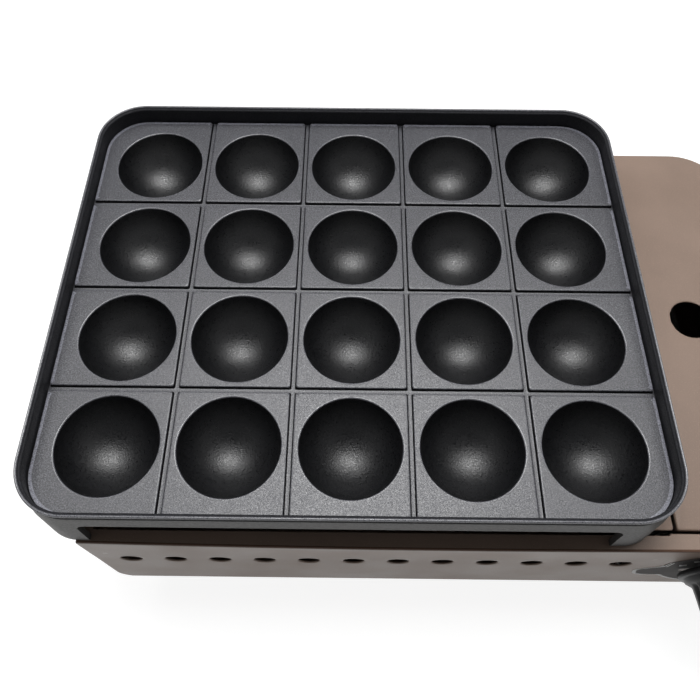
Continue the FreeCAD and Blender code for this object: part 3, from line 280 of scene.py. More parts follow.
def quarter(steps, start=0.0):
    """Angles in radians, from a start in degrees to a quarter turn."""
    return np.linspace(start, 90.0, steps) * DEG


def round_turn(steps):
    """Angles in radians once round."""
    return np.linspace(0.0, 2.0 * math.pi, steps, endpoint=False)


def ways(points, middle):
    """Unit vectors from a middle to flat points."""
    turn = np.arctan2(*(points - middle).T[::-1])
    return np.stack([np.cos(turn), np.sin(turn)], axis=1)


def rectangle(low, high):
    """The four sides of a rectangle in turn, each as its two ends."""
    turns = [np.array(p) for p in ((low[0], low[1]), (high[0], low[1]),
                                   (high[0], high[1]), (low[0], high[1]))]
    return list(zip(turns, turns[1:] + turns[:1]))


def side(start, end, marks=()):
    """Points from start up to, not including, end: symmetric and closer together near
    both ends. marks are extra distances from start."""
    start, end = np.asarray(start, float), np.asarray(end, float)
    run = np.linalg.norm(end - start)
    half = 0.5 * np.linspace(0.0, 1.0, 15) ** 1.6
    steps = np.concatenate([half * run, (1.0 - half[-2::-1]) * run, marks])
    steps = np.unique(np.round(steps, 9))
    steps = steps[(steps >= 0.0) & (steps < run - 1e-7)]
    return start + (end - start) * (steps / run)[:, None]


def drawn_in(points, low, high, inset, radius):
    """Moves points of a rectangle's edge onto the rounded rectangle inset from it:
    each point goes to radius from its nearest point of the shrunk rectangle.
    Returns the new points and the outward directions."""
    reach = (np.broadcast_to(radius, len(points)) + inset)[:, None]
    core = np.clip(points, low + reach, high - reach)
    out = points - core
    size = np.linalg.norm(out, axis=1, keepdims=True)
    out = np.divide(out, size, out=np.zeros_like(out), where=size > 1e-12)
    return core + out * (reach - inset), out


def rounded_outline(low, high, radii, arc=14, between=8, marks=()):
    """Rounded rectangle from its front left corner, seen from above and turning left:
    arcs about each corner's centre, and even points on the straight runs between, with
    more at the Y values in marks. Returns points and outward directions."""
    low, high, radii = (np.asarray(v, float) for v in (low, high, radii))
    signs = np.array([(-1, -1), (1, -1), (1, 1), (-1, 1)], float)
    centres = np.where(signs < 0, low, high) - signs * radii[:, None]
    points, outs = [], []
    for i in range(4):
        turn = (180.0 + 90.0 * i + np.linspace(0.0, 90.0, arc + 1)) * DEG
        out = np.stack([np.cos(turn), np.sin(turn)], axis=1)
        points.append(centres[i] + radii[i] * out)
        begin, after = points[-1][-1], (i + 1) % 4
        stop = centres[after] + radii[after] * out[-1]
        share = np.linspace(0, 1, between + 2)
        if i % 2:
            marked = (np.asarray(marks, float) - begin[1]) / (stop[1] - begin[1])
            share = np.concatenate([share, marked])
        share = np.unique(np.round(share[(share > 1e-6) & (share < 1.0 - 1e-6)], 9))
        points.append(begin + (stop - begin) * share[:, None])
        outs += [out, np.broadcast_to(out[-1], (len(share), 2))]
    return np.concatenate(points), np.concatenate(outs)


def folded(edge, out, fold, top, start=0.0):
    """Rows over a fold at an outline's top: it moves inwards by a quarter circle."""
    fold = np.broadcast_to(fold, len(edge))
    return [raised(edge - out * (fold * (1.0 - math.cos(t)))[:, None],
                   top - fold * (1.0 - math.sin(t))) for t in quarter(6, start)]


def rolled(line, out, roll, top, steps, start=0.0):
    """Rows that roll down from a flat at top to an inner outline, by a quarter circle."""
    return [raised(line + out * roll * (1.0 - math.sin(t)),
                   top - roll * (1.0 - math.cos(t))) for t in quarter(steps, start)]


def turned(profile, centre, axis="Z", around=64, cut=0.0):
    """Surface of revolution: each (radius, height) of a profile, less cut off the
    radius, turned round the Z or Y axis through a centre."""
    turn = round_turn(around)
    radius = profile[:, :1] - cut
    u, v = radius * np.cos(turn), radius * np.sin(turn)
    w = np.broadcast_to(profile[:, 1:2], u.shape)
    return np.stack((u, v, w) if axis == "Z" else (u, w, v), axis=-1) + centre


# ---- finishes ---------------------------------------------------------------------
class Nodes:
    """A node tree in the making."""

    def __init__(self, tree):
        self.tree = tree

    def feed(self, node, sockets):
        """Gives a node's sockets another node's socket, a number or a colour."""
        for name, value in sockets.items():
            socket = node.inputs[name]
            if isinstance(value, bpy.types.NodeSocket):
                self.tree.links.new(value, socket)
            else:
                socket.default_value = (*value, 1.0) if socket.type == "RGBA" else value

    def node(self, kind, sockets=None, **settings):
        """Adds a shader node with its settings and sockets."""
        node = self.tree.nodes.new("ShaderNode" + kind)
        for name, value in settings.items():
            setattr(node, name, value)
        self.feed(node, sockets or {})
        return node

    def spread(self, source, low, high, to_low=0.0, to_high=1.0):
        """Maps a pattern's range low to high onto another, with clean ends."""
        return self.node("MapRange", {"Value": source, "From Min": low, "From Max": high,
                                      "To Min": to_low, "To Max": to_high}).outputs[0]

    def sums(self, operation, first, second):
        """One pattern out of two, or out of one and a number."""
        return self.node("Math", {0: first, 1: second}, operation=operation).outputs[0]

    def axis(self, place, name):
        """One coordinate of a place."""
        return self.node("SeparateXYZ", {0: place}).outputs[name]


def scaled(colour, factor):
    """A colour made lighter or darker, by one factor or one for each channel."""
    return tuple(min(1.0, float(c * f))
                 for c, f in zip(colour, np.broadcast_to(factor, 3)))


class Finish(Nodes):
    """A material in the making: its shader, and patterns on the object's own place."""

    def __init__(self, name, colour, roughness, metallic=0.0, level=0.5):
        self.material = bpy.data.materials.new(name)
        self.material.use_nodes = True
        self.material.diffuse_color = (*colour, 1.0)
        super().__init__(self.material.node_tree)
        self.shader = self.tree.nodes["Principled BSDF"]
        self.feed(self.shader, {"Base Color": colour, "Roughness": roughness,
                                "Metallic": metallic, "Specular IOR Level": level})
        self.place = self.node("TexCoord").outputs["Object"]

    def noise(self, size, detail=2.0, rough=0.5, stretch=None):
        """Cloudy pattern whose features are about size across. stretch scales the
        place unevenly, for streaks and tool marks."""
        place = self.place
        if stretch:
            place = self.node("Mapping", {"Vector": place, "Scale": stretch}).outputs[0]
        return self.node("TexNoise", {"Vector": place, "Scale": 1.0 / size,
                                      "Detail": detail, "Roughness": rough}).outputs["Fac"]

    def mixed(self, factor, first, second):
        """Colour between two colours or sockets, by a pattern."""
        return self.node("Mix", data_type="RGBA",
                         sockets={"Factor": factor, 6: first, 7: second}).outputs[2]

    def shades(self, pattern, colour, dark, pale, low=0.3, high=0.7):
        """A colour made darker and paler, by a pattern."""
        return self.mixed(self.spread(pattern, low, high), scaled(colour, dark),
                          scaled(colour, pale))

    def made(self, tint, rough, relief=None, depth=0.0, strength=1.0):
        """The material, once colour, roughness and relief are joined to its shader."""
        self.feed(self.shader, {"Base Color": tint, "Roughness": rough})
        if relief is not None:
            bump = self.node("Bump", {"Strength": strength, "Distance": depth * MM,
                                      "Height": relief})
            self.feed(self.shader, {"Normal": bump.outputs["Normal"]})
        return self.material


def coating_finish(name, colour, level=0.6, fleck=0.13, depth=0.08, rough=0.42, size=0.6,
                   swing=0.12):
    """Sprayed non-stick coating: fine pebbly grain with small pale flecks."""
    finish = Finish(name, colour, 0.42, level=level)
    grain = finish.noise(size * MM, 3.0, 0.7)
    blotch = finish.noise(9.0 * MM, 3.0)
    speck = finish.noise(0.85 * size * MM, 3.0, 0.8)
    base = finish.mixed(finish.spread(grain, 0.40, 0.62), scaled(colour, 0.4),
                        finish.shades(blotch, colour, 0.85, 1.2))
    tint = finish.mixed(finish.spread(speck, 0.44, 0.66), base,
                        (fleck, fleck, fleck * 1.12))
    return finish.made(tint, finish.spread(grain, 0.35, 0.65, rough - swing, rough + swing),
                       grain, depth)


def grained(finish, colour, grain, cloud, shades, rough, depth, strength):
    """A skin of one grain over faint clouds: the clouds change the colour, the grain
    changes the roughness and makes the relief."""
    return finish.made(finish.shades(cloud, colour, *shades),
                       finish.spread(grain, 0.3, 0.7, *rough), grain, depth, strength)


def skirt_finish(name, colour):
    """Thin matt coating over the casting, greyer and smoother than the cooking face."""
    finish = Finish(name, colour, 0.5, level=0.22)
    return grained(finish, colour, finish.noise(0.9 * MM, 3.0, 0.6),
                   finish.noise(18.0 * MM, 3.0), (0.85, 1.15), (0.44, 0.58), 0.03, 0.6)


def plastic_finish(name, colour, roughness=0.38, level=0.22):
    """Moulded plastic with a fine spark-eroded grain."""
    finish = Finish(name, colour, roughness, level=level)
    return grained(finish, colour, finish.noise(0.35 * MM, 2.0, 0.6),
                   finish.noise(14.0 * MM), (0.9, 1.25),
                   (roughness - 0.05, roughness + 0.08), 0.02, 0.6)


def cast_finish(name, colour):
    """As-cast alloy: sandy skin, slightly mottled."""
    finish = Finish(name, colour, 0.5, metallic=0.85)
    return grained(finish, colour, finish.noise(0.6 * MM, 3.0, 0.6),
                   finish.noise(7.0 * MM, 3.0), (0.8, 1.1), (0.42, 0.6), 0.05, 0.7)


def machined_finish(name, colour):
    """Turned or plated metal with fine tool marks along its height."""
    finish = Finish(name, colour, 0.22, metallic=1.0)
    return grained(finish, colour, finish.noise(1.0, 2.0, 0.5, (300.0, 300.0, 6000.0)),
                   finish.noise(3.0 * MM), (0.88, 1.06), (0.17, 0.32), 0.01, 0.4)


def paint_finish(name, colour):
    """Satin baked paint with a faint orange-peel skin and thin dust marks."""
    finish = Finish(name, colour, 0.44, level=0.2)
    peel = finish.noise(0.75 * MM, 3.0, 0.55)
    cloud = finish.noise(26.0 * MM, 4.0)
    speck = finish.noise(0.5 * MM, 1.0)
    tint = finish.mixed(finish.spread(speck, 0.60, 0.72),
                        finish.shades(cloud, colour, 0.95, 1.05, 0.35, 0.65),
                        scaled(colour, 1.22))
    return finish.made(tint, finish.spread(cloud, 0.3, 0.7, 0.36, 0.46), peel, 0.02, 0.6)


def rubber_finish(name, colour):
    """Dull rubber with a soft bloom."""
    finish = Finish(name, colour, 0.75, level=0.3)
    bloom = finish.noise(3.0 * MM, 4.0)
    return finish.made(finish.shades(bloom, colour, 1.0, 1.8, 0.4, 0.7),
                       finish.spread(bloom, 0.3, 0.7, 0.65, 0.85),
                       finish.noise(0.3 * MM, 1.0), 0.02, 0.7)


def sheet_finish(name, colour, roughness=0.32):
    """Plated sheet steel: faint crystal spangle under fine rolling lines."""
    finish = Finish(name, colour, roughness, metallic=1.0)
    lines = finish.noise(1.0, 3.0, 0.6, (30.0, 1200.0, 1200.0))
    spangle = finish.node("TexVoronoi", {"Vector": finish.place, "Scale": 1.0 / (4.5 * MM)})
    grey = finish.node("RGBToBW", {0: spangle.outputs["Color"]}).outputs[0]
    tone = finish.sums("ADD", finish.sums("MULTIPLY", grey, 0.5),
                       finish.spread(lines, 0.3, 0.7, 0.0, 0.5))
    tint = finish.mixed(tone, scaled(colour, 0.82), scaled(colour, 1.12))
    return finish.made(tint, finish.spread(tone, 0.0, 1.0, roughness - 0.06,
                                           roughness + 0.12), lines, 0.008, 0.5)


def heated_finish(name, colour, hot_z):
    """Aluminised steel that heat has tinted straw and blue towards the flames."""
    finish = Finish(name, colour, 0.42, metallic=1.0)
    cloud = finish.noise(11.0 * MM, 4.0, 0.6)
    height = finish.axis(finish.place, "Z")
    heat = finish.sums("ADD", finish.spread(height, hot_z - 18.0 * MM, hot_z, 0.0, 0.8),
                       finish.spread(cloud, 0.3, 0.7, -0.35, 0.35))
    straw = finish.mixed(finish.spread(heat, 0.15, 0.55), colour, (0.42, 0.30, 0.17))
    tint = finish.mixed(finish.spread(heat, 0.6, 1.0), straw, (0.16, 0.17, 0.24))
    return finish.made(tint, finish.spread(cloud, 0.3, 0.7, 0.34, 0.52),
                       finish.noise(0.8 * MM, 3.0), 0.01, 0.5)


def ceramic_finish(name, colour):
    """Glazed off-white ceramic with a few iron specks."""
    finish = Finish(name, colour, 0.16)
    speck = finish.noise(0.5 * MM, 1.0)
    cloud = finish.noise(4.0 * MM)
    base = finish.mixed(finish.spread(cloud, 0.3, 0.7), (0.80, 0.77, 0.70),
                        (0.88, 0.86, 0.81))
    tint = finish.mixed(finish.spread(speck, 0.70, 0.76), base, (0.4, 0.3, 0.2))
    return finish.made(tint, finish.spread(cloud, 0.3, 0.7, 0.12, 0.22))


# Each finish: its maker, the material's name, its colour or the setting that holds it,
# how much lighter or darker, and the maker's other values.
FINISHES = {
    "plate_coating": (coating_finish, "speckled_coating", "coating", 1.0, {}),
    # The cups take the face's coating made near black and tinted blue: painted shade inside
    # the hollows.
    "cup_painted_shade": (coating_finish, "cup_painted_shade", (0.0018, 0.0022, 0.0036), 1.0,
                    {"level": 0.65, "fleck": 0.006, "depth": 0.16, "rough": 0.38,
                     "size": 0.8, "swing": 0.14}),
    # The face's coating made nearly twice as pale and glossier: painted highlight on the
    # lip's top, the cells' rounded shoulders and the cups' edges.
    "lip_painted_highlight": (coating_finish, "lip_painted_highlight", "coating", 1.9,
                    {"level": 1.0, "fleck": 0.12, "depth": 0.03, "rough": 0.33}),
    # Near-black, barely glossy copy of the coating: painted shade on the channel walls and
    # a painted shadow line under the lip.
    "painted_shade_coating": (coating_finish, "painted_shade_coating", "coating", 0.1,
                      {"level": 0.08, "fleck": 0.01, "depth": 0.05, "rough": 0.6}),
    # Half-bright copy of the coating: painted shade on the rim's inner wall and the ledge
    # at its foot.
    "wall_painted_shade": (coating_finish, "wall_painted_shade", "coating", 0.5,
                     {"level": 0.16, "fleck": 0.03, "depth": 0.05, "rough": 0.5}),
    # Much paler copy of the coating: a painted highlight along the cells' shoulders beside
    # the rim.
    "edge_painted_highlight": (coating_finish, "edge_painted_highlight", "coating", 5.4,
                     {"level": 0.6, "fleck": 0.3, "depth": 0.05, "rough": 0.36}),
    "skirt_coating": (skirt_finish, "skirt_coating", (0.040, 0.039, 0.038), 1.0, {}),
    "casing_paint": (paint_finish, "satin_paint", "paint", 1.0, {}),
    # The casing paint darkened and reddened: a painted shade line along the front fold.
    "fold_painted_shade": (paint_finish, "fold_painted_shade", "paint", (0.42, 0.32, 0.27), {}),
    "tray_steel": (heated_finish, "tray_steel", (0.47, 0.46, 0.44), 1.0,
                   {"hot_z": CASE_TOP + 6.0 * MM}),
    "burner_steel": (heated_finish, "burner_steel", (0.42, 0.41, 0.40), 1.0,
                     {"hot_z": BURNER_HIGH[2]}),
    "plain_steel": (sheet_finish, "plated_steel", "steel", 1.0, {}),
    # Plain steel at three tenths of its colour and rougher: the darkening is painted shade
    # on the heat shield, seen through the vents.
    "shield_steel": (sheet_finish, "dull_painted_shade_shield", "steel", 0.3, {"roughness": 0.5}),
    "screw_steel": (machined_finish, "bright_steel", (0.62, 0.62, 0.60), 1.0, {}),
    "jet_brass": (machined_finish, "turned_brass", (0.72, 0.52, 0.26), 1.0, {}),
    "valve_casting": (cast_finish, "die_cast_alloy", (0.30, 0.30, 0.295), 1.0, {}),
    "knob_plastic": (plastic_finish, "knob_plastic", "plastic", 1.0,
                     {"roughness": 0.34, "level": 0.14}),
    "dial_plastic": (plastic_finish, "dial_ink", (0.085, 0.080, 0.078), 1.0,
                     {"roughness": 0.6, "level": 0.06}),
    "dial_line": (plastic_finish, "dial_line", (0.88, 0.87, 0.85), 1.0,
                  {"roughness": 0.5}),
    "igniter_plastic": (plastic_finish, "igniter_plastic", (0.04, 0.04, 0.04), 1.0, {}),
    "foot_plastic": (plastic_finish, "foot_plastic", (0.03, 0.03, 0.032), 1.0,
                     {"roughness": 0.5}),
    "spark_ceramic": (ceramic_finish, "glazed_ceramic", (0.84, 0.82, 0.76), 1.0, {}),
    "lead_rubber": (rubber_finish, "lead_rubber", (0.09, 0.09, 0.09), 1.0, {}),
    "pad_rubber": (rubber_finish, "pad_rubber", (0.03, 0.03, 0.03), 1.0, {}),
}
MADE = {}


def finish_of(kind):
    """The named finish, made when it is first wanted."""
    if kind not in MADE:
        maker, name, colour, factor, values = FINISHES[kind]
        if isinstance(colour, str):
            colour = getattr(bpy.context.scene.cooker_finishes, colour)
        MADE[kind] = maker(name, scaled(colour, factor), **values)
    return MADE[kind]


# ---- cooking plate ---------------------------------------------------------------
# The plate's finishes, and the numbers of its faces' finishes in the same order.
# Only the face and skirt coatings are the plate's own colours; the others are copies of the
# face's coating, darker for painted shade or paler for painted highlights.
PLATE_FINISHES = ["plate_coating", "cup_painted_shade", "skirt_coating", "lip_painted_highlight",
                  "painted_shade_coating", "edge_painted_highlight", "wall_painted_shade"]
FACE, CUP_SHADE, SKIRT, LIP_HIGHLIGHT, PAINTED_SHADE, EDGE_HIGHLIGHT, WALL_SHADE = range(7)

OPENING_BEND = 4.0 * MM     # radius of a skirt opening's upper corners

# A cell's shoulder from the channel up to the flat: mm inwards, height as a share of
# the channel's depth, and mm inwards at the rim.
SHOULDER = [(0.0, -1.0, 0.0), (0.72, -1.0, 0.36), (0.90, -0.92, 0.45),
            (1.06, -0.6, 0.53), (1.18, -0.25, 0.59), (1.32, -0.07, 0.66),
            (1.55, 0.0, 0.78), (2.0, 0.0, 1.0), (2.2, 0.0, 2.0)]

# The rim from its inner face over the lip to the groove below it: mm outwards of the
# inner face's foot, and mm from the top. The rows from UNDER_LIP on follow the skirt's
# smaller corner radius.
RIM = [(-0.9, -2.0), (-0.85, -1.4), (-0.45, -1.1), (0.0, -0.9), (0.15, -0.4),
       (0.4, -0.1), (0.75, 0.0), (1.05, -0.14), (1.2, -0.36), (1.28, -0.62),
       (1.3, -1.0), (1.3, -1.5), (1.2, -1.8), (0.9, -2.0), (0.4, -2.2), (0.3, -3.6),
       (0.5, -4.9), (0.8, -5.4)]
UNDER_LIP = 17

# The skirt's rounded lower edge: mm outwards, and mm above the edge.
SKIRT_EDGE = [(0.8, 1.9), (0.68, 1.2), (0.38, 0.6), (-0.05, 0.2), (-0.6, 0.0),
              (-1.2, 0.0), (-1.6, 0.2), (-1.75, 0.6)]


def skirt_marks(inner, leg):
    """Distances from the plate's middle at which a skirt opening needs points: along
    its rounded upper corner and close on both sides of the leg's edge."""
    corner = leg - OPENING_BEND + OPENING_BEND * np.sin(quarter(7))
    marks = np.concatenate([corner, [leg + 0.18 * MM, inner * 0.25, inner * 0.5]])
    return np.concatenate([-marks[::-1], marks])


def skirt_foot(edge, legs, low, top):
    """Height of the skirt's lower edge at each point of the plate's edge: low at the
    corner legs, top over the openings, joined by a quarter circle."""
    past = (np.abs(edge) - legs).min(axis=1)
    turn = np.clip(past + OPENING_BEND, 0.0, OPENING_BEND)
    height = top - OPENING_BEND + np.sqrt(np.maximum(OPENING_BEND ** 2 - turn ** 2, 0.0))
    return np.where(past > 0.15 * MM, low, height)


class PlatePlan:
    """The plate's cells and edges seen from above, measured from its middle: half
    sizes inside the rim, the inner corner's radius, where the legs begin, the lines
    between the cells, and the skirt's marks."""

    def __init__(self, sizes):
        half = (PLATE_HIGH[:2] - PLATE_LOW[:2]) / 2.0 + sizes.lip_out - sizes.flare
        self.inner = half - sizes.rim_wall
        self.corner = sizes.rim_corner - sizes.rim_wall
        self.legs = half - np.array([sizes.leg_x, sizes.leg_y])
        self.counts = np.array([sizes.columns, sizes.rows])
        self.lines = [np.concatenate([[-reach], (np.arange(1, cups) - cups / 2.0)
                                      * sizes.pitch, [reach]])
                      for reach, cups in zip(self.inner, self.counts)]
        self.marks = [skirt_marks(*pair) for pair in zip(self.inner, self.legs)]

    def run(self, start, end, axis, at_rim=True):
        """Points from start to end along an axis, with the skirt's marks at the rim."""
        first, last = sorted((start[axis], end[axis]))
        marks = self.marks[axis]
        marks = marks[(marks > first) & (marks < last)]
        return side(start, end, np.abs(marks - start[axis]) if at_rim else ())

    def cell_edge(self, low, high):
        """Points round one cell."""
        runs = []
        for i, (start, end) in enumerate(rectangle(low, high)):
            across = 1 - i % 2
            at_rim = abs(abs(start[across]) - self.inner[across]) < 1e-7
            runs.append(self.run(start, end, i % 2, at_rim))
        return np.concatenate(runs)

    def rim_edge(self):
        """Points round all cells."""
        runs = []
        for axis, sign, order in ((0, -1, 1), (1, 1, 1), (0, 1, -1), (1, -1, -1)):
            stops = self.lines[axis][::order]
            for begin, stop in zip(stops[:-1], stops[1:]):
                start, end = np.full((2, 2), sign * self.inner[1 - axis])
                start[axis], end[axis] = begin, stop
                runs.append(self.run(start, end, axis))
        return np.concatenate(runs)


def add_cell(surface, sizes, plan, place):
    """One cup's cell. Above, it runs from the channels' middle over a rounded shoulder
    to the flat, round the cup's edge and down a half ball. Below, it runs from the
    channels' middle to the rounded outside of the cup, which is cut off flat."""
    low = np.array([line[k] for line, k in zip(plan.lines, place)])
    high = np.array([line[k + 1] for line, k in zip(plan.lines, place)])
    cup = (place - (plan.counts - 1) / 2.0) * sizes.pitch
    edge = plan.cell_edge(low, high)
    ends = (place == plan.counts - 1).astype(int) - (place == 0)
    at_corner = ((edge - (low + high) / 2.0) * ends > 0).all(axis=1)
    rows = []
    for inset, fall, rim_inset in SHOULDER:
        near, spare = inset * MM, (inset - rim_inset) * MM
        flat, _ = drawn_in(edge, low + np.minimum(ends, 0) * spare,
                           high + np.maximum(ends, 0) * spare, near,
                           np.where(at_corner, plan.corner - near, near))
        rows.append(raised(flat, fall * sizes.channel_depth))
    way = ways(flat, cup)
    lip = sizes.cup_radius + sizes.cup_round
    rows.append(raised((flat + cup + way * lip) / 2.0, 0.0))
    rows += [raised(cup + way * (lip - sizes.cup_round * math.sin(t)),
                    sizes.cup_round * (math.cos(t) - 1.0)) for t in quarter(5)]
    dip = math.asin(sizes.cup_round / sizes.cup_radius)
    rows += [raised(cup + way * sizes.cup_radius * math.cos(t),
                    -sizes.cup_radius * math.sin(t))
             for t in np.linspace(dip, math.pi / 2.0, 15)[1:]]
    # The channel walls take painted shade; the shoulder's rounding and the cup's rounded
    # edge take a painted highlight.
    finish = [FACE] + [PAINTED_SHADE] * 3 + [LIP_HIGHLIGHT] * 2 + [FACE] * 4 + [LIP_HIGHLIGHT] * 4
    # The half ball takes the darkened coating: painted shade in the cup.
    finish += [CUP_SHADE] * (len(rows) - 1 - len(finish))
    finish = np.repeat(np.array(finish)[:, None], len(edge), axis=1)
    at_rim = (np.abs(np.abs(edge) - plan.inner) < 1e-7).any(axis=1)
    # Along the rim the shoulder and the flat next to it take the painted highlight.
    finish[5:8, at_rim] = EDGE_HIGHLIGHT
    surface.grid(rows, finish, (0, 0, 1), wrap=True)

    bound, _ = drawn_in(edge, low, high, 0.0, np.where(at_corner, plan.corner, 0.0))
    way = ways(bound, cup)
    outside = sizes.cup_radius + sizes.cup_wall + 0.5 * MM
    bottom = -sizes.cup_radius - sizes.cup_wall
    down = np.linspace(math.asin(sizes.floor / outside),
                       math.asin(min(1.0, -(bottom + 3.4 * MM) / outside)), 4)
    rest = outside * math.cos(down[-1])
    rows = [raised(bound, -sizes.floor)]
    rows += [raised(cup + way * outside * math.cos(t), -outside * math.sin(t))
             for t in down]
    rows += [raised(cup + way * (rest - 0.2 * MM), bottom + 0.5 * MM),
             raised(cup + way * (rest - 0.7 * MM), bottom),
             raised(cup + way * 0.0, bottom)]
    surface.grid(rows, FACE, (0, 0, -1), wrap=True)


def add_rim(surface, sizes, plan, fall):
    """The rim and skirt: one profile carried round the plate, cut higher between the
    legs. Its points move out by the profile's reach and by a flare that grows to the
    foot, at fall, and at the legs out to the skirt's smaller corner radius."""
    edge, out = drawn_in(plan.rim_edge(), -plan.inner, plan.inner, 0.0, plan.corner)
    foot = skirt_foot(edge, plan.legs, fall, -sizes.band)
    eased = np.where(foot > fall + 1.0 * MM, 1.0, 0.3)
    top = sizes.rim_height
    profile = [(0.0, -sizes.channel_depth), (-0.05, -0.3 * MM), (-0.5, top * 0.5)]
    profile += [(reach, top + z * MM) for reach, z in RIM]
    profile += [(0.8, 0.0), (0.8, -sizes.band + 2.6 * MM)]
    profile += [(reach, foot + z * eased * MM) for reach, z in SKIRT_EDGE]
    turning = (np.abs(out) > 1e-6).all(axis=1)[:, None]
    bulge = (sizes.rim_corner - sizes.foot_corner) * np.where(turning,
                                                              np.sign(out) - out, 0.0)
    rows = []
    for i, (reach, z) in enumerate(profile):
        z = np.broadcast_to(z, len(edge))
        spread = reach * MM + sizes.flare * np.clip(z / fall, 0.0, 1.0)
        flat = edge + out * spread[:, None]
        if i >= UNDER_LIP:
            flat = flat + bulge * np.clip((6.0 * MM - z) / (14.0 * MM), 0.0, 1.0)[:, None]
        rows.append(raised(flat, z))
    rows.append(raised(edge, -sizes.floor))
    # Round the rim: painted shade on the inner wall and ledge, a painted highlight over the
    # lip, and a painted shadow below it.
    finish = [WALL_SHADE] * 7 + [LIP_HIGHLIGHT] * 5 + [PAINTED_SHADE] * 8
    finish += [SKIRT] * (len(rows) - 1 - len(finish))
    surface.grid(rows, finish, wrap=True)


def plate_mesh(sizes):
    """Cast plate as one closed shell: a cell for each cup, and the rim with its skirt.
    It is built about the middle of the cooking face, then moved into place."""
    surface = Surface()
    plan = PlatePlan(sizes)
    face_z = PLATE_HIGH[2] - sizes.rim_height
    for place in np.ndindex(*plan.counts):
        add_cell(surface, sizes, plan, np.array(place))
    add_rim(surface, sizes, plan, PLATE_LOW[2] - face_z)
    for points in surface.points:
        points += (*PLATE_MID, face_z)
    return surface.mesh("cast_plate", closed=True)


# ---- casing ----------------------------------------------------------------------
def front_depth(x, bow, z):
    """Y of the casing's front face: at its top a shallow parabola, foremost in the
    middle, that fades out two fifths of the way down; below that the face leans out."""
    share = (x - PANEL_LOW[0]) / (PANEL_HIGH[0] - PANEL_LOW[0])
    height = (z - PANEL_LOW[2]) / (PANEL_HIGH[2] - PANEL_LOW[2])
    fade = np.clip((height - 0.6) / 0.4, 0.0, 1.0) ** 2
    lean = 0.4 * bow * np.clip(1.0 - height / 0.6, 0.0, 1.0)
    return PANEL_LOW[1] + 0.85 * bow - lean - fade * bow * (0.85 - (2.0 * share - 1.0) ** 2)


def on_front(x, z, sizes, depth=0.0):
    """Point of the front face at x and z, moved back by depth."""
    y = front_depth(x, sizes.bow, z) + depth
    return np.stack(np.broadcast_arrays(x, y, z), axis=-1)


def hole_rows(low, high, centre, radius, steps, roll):
    """Rows from a rectangle's edge to a round hole in it: the same number of points
    on each side, matched by angle to the circle, whose edge rolls inwards by roll.
    Returns flat points and the depth of each row."""
    step = np.linspace(0.0, 1.0, steps, endpoint=False)[:, None]
    edge = np.concatenate([a + (b - a) * step for a, b in rectangle(low, high)])
    way = ways(edge, centre)
    ring = centre + way * (radius + 1.6 * roll)
    rows, depths = [edge, (edge + ring) / 2.0, ring], [0.0, 0.0, 0.0]
    for t in quarter(4, 20.0):
        rows.append(centre + way * (radius + roll * (1.0 - math.sin(t))))
        depths.append(roll * (1.0 - math.cos(t)))
    return np.stack(rows), np.array(depths)


def strip_rear(x, sizes):
    """Y of the rear edge of the strip on top of the front panel: a slot with rounded
    ends runs from the casing's left end to the lid's, and beside it the strip reaches
    the top sheet."""
    inside = np.clip(np.minimum(x - SLOT_LEFT, SLOT_RIGHT - x), 0.0, SLOT_BEND)
    bend = np.sqrt(np.maximum(SLOT_BEND ** 2 - (SLOT_BEND - inside) ** 2, 0.0))
    gap = 0.02 * MM
    return np.where(x < SLOT_LEFT - gap, TOP_LOW[1] - sizes.seam - gap,
                    PANEL_LOW[1] + 7.7 * MM - bend)


def strip_columns(base):
    """The panel's X values with those that the strip's slot needs for its ends."""
    fine = SLOT_BEND * (1.0 - np.cos(quarter(9)))
    return np.unique(np.round(np.concatenate([base, SLOT_LEFT + fine, SLOT_RIGHT - fine,
                                              [SLOT_LEFT - 0.03 * MM]]), 8))


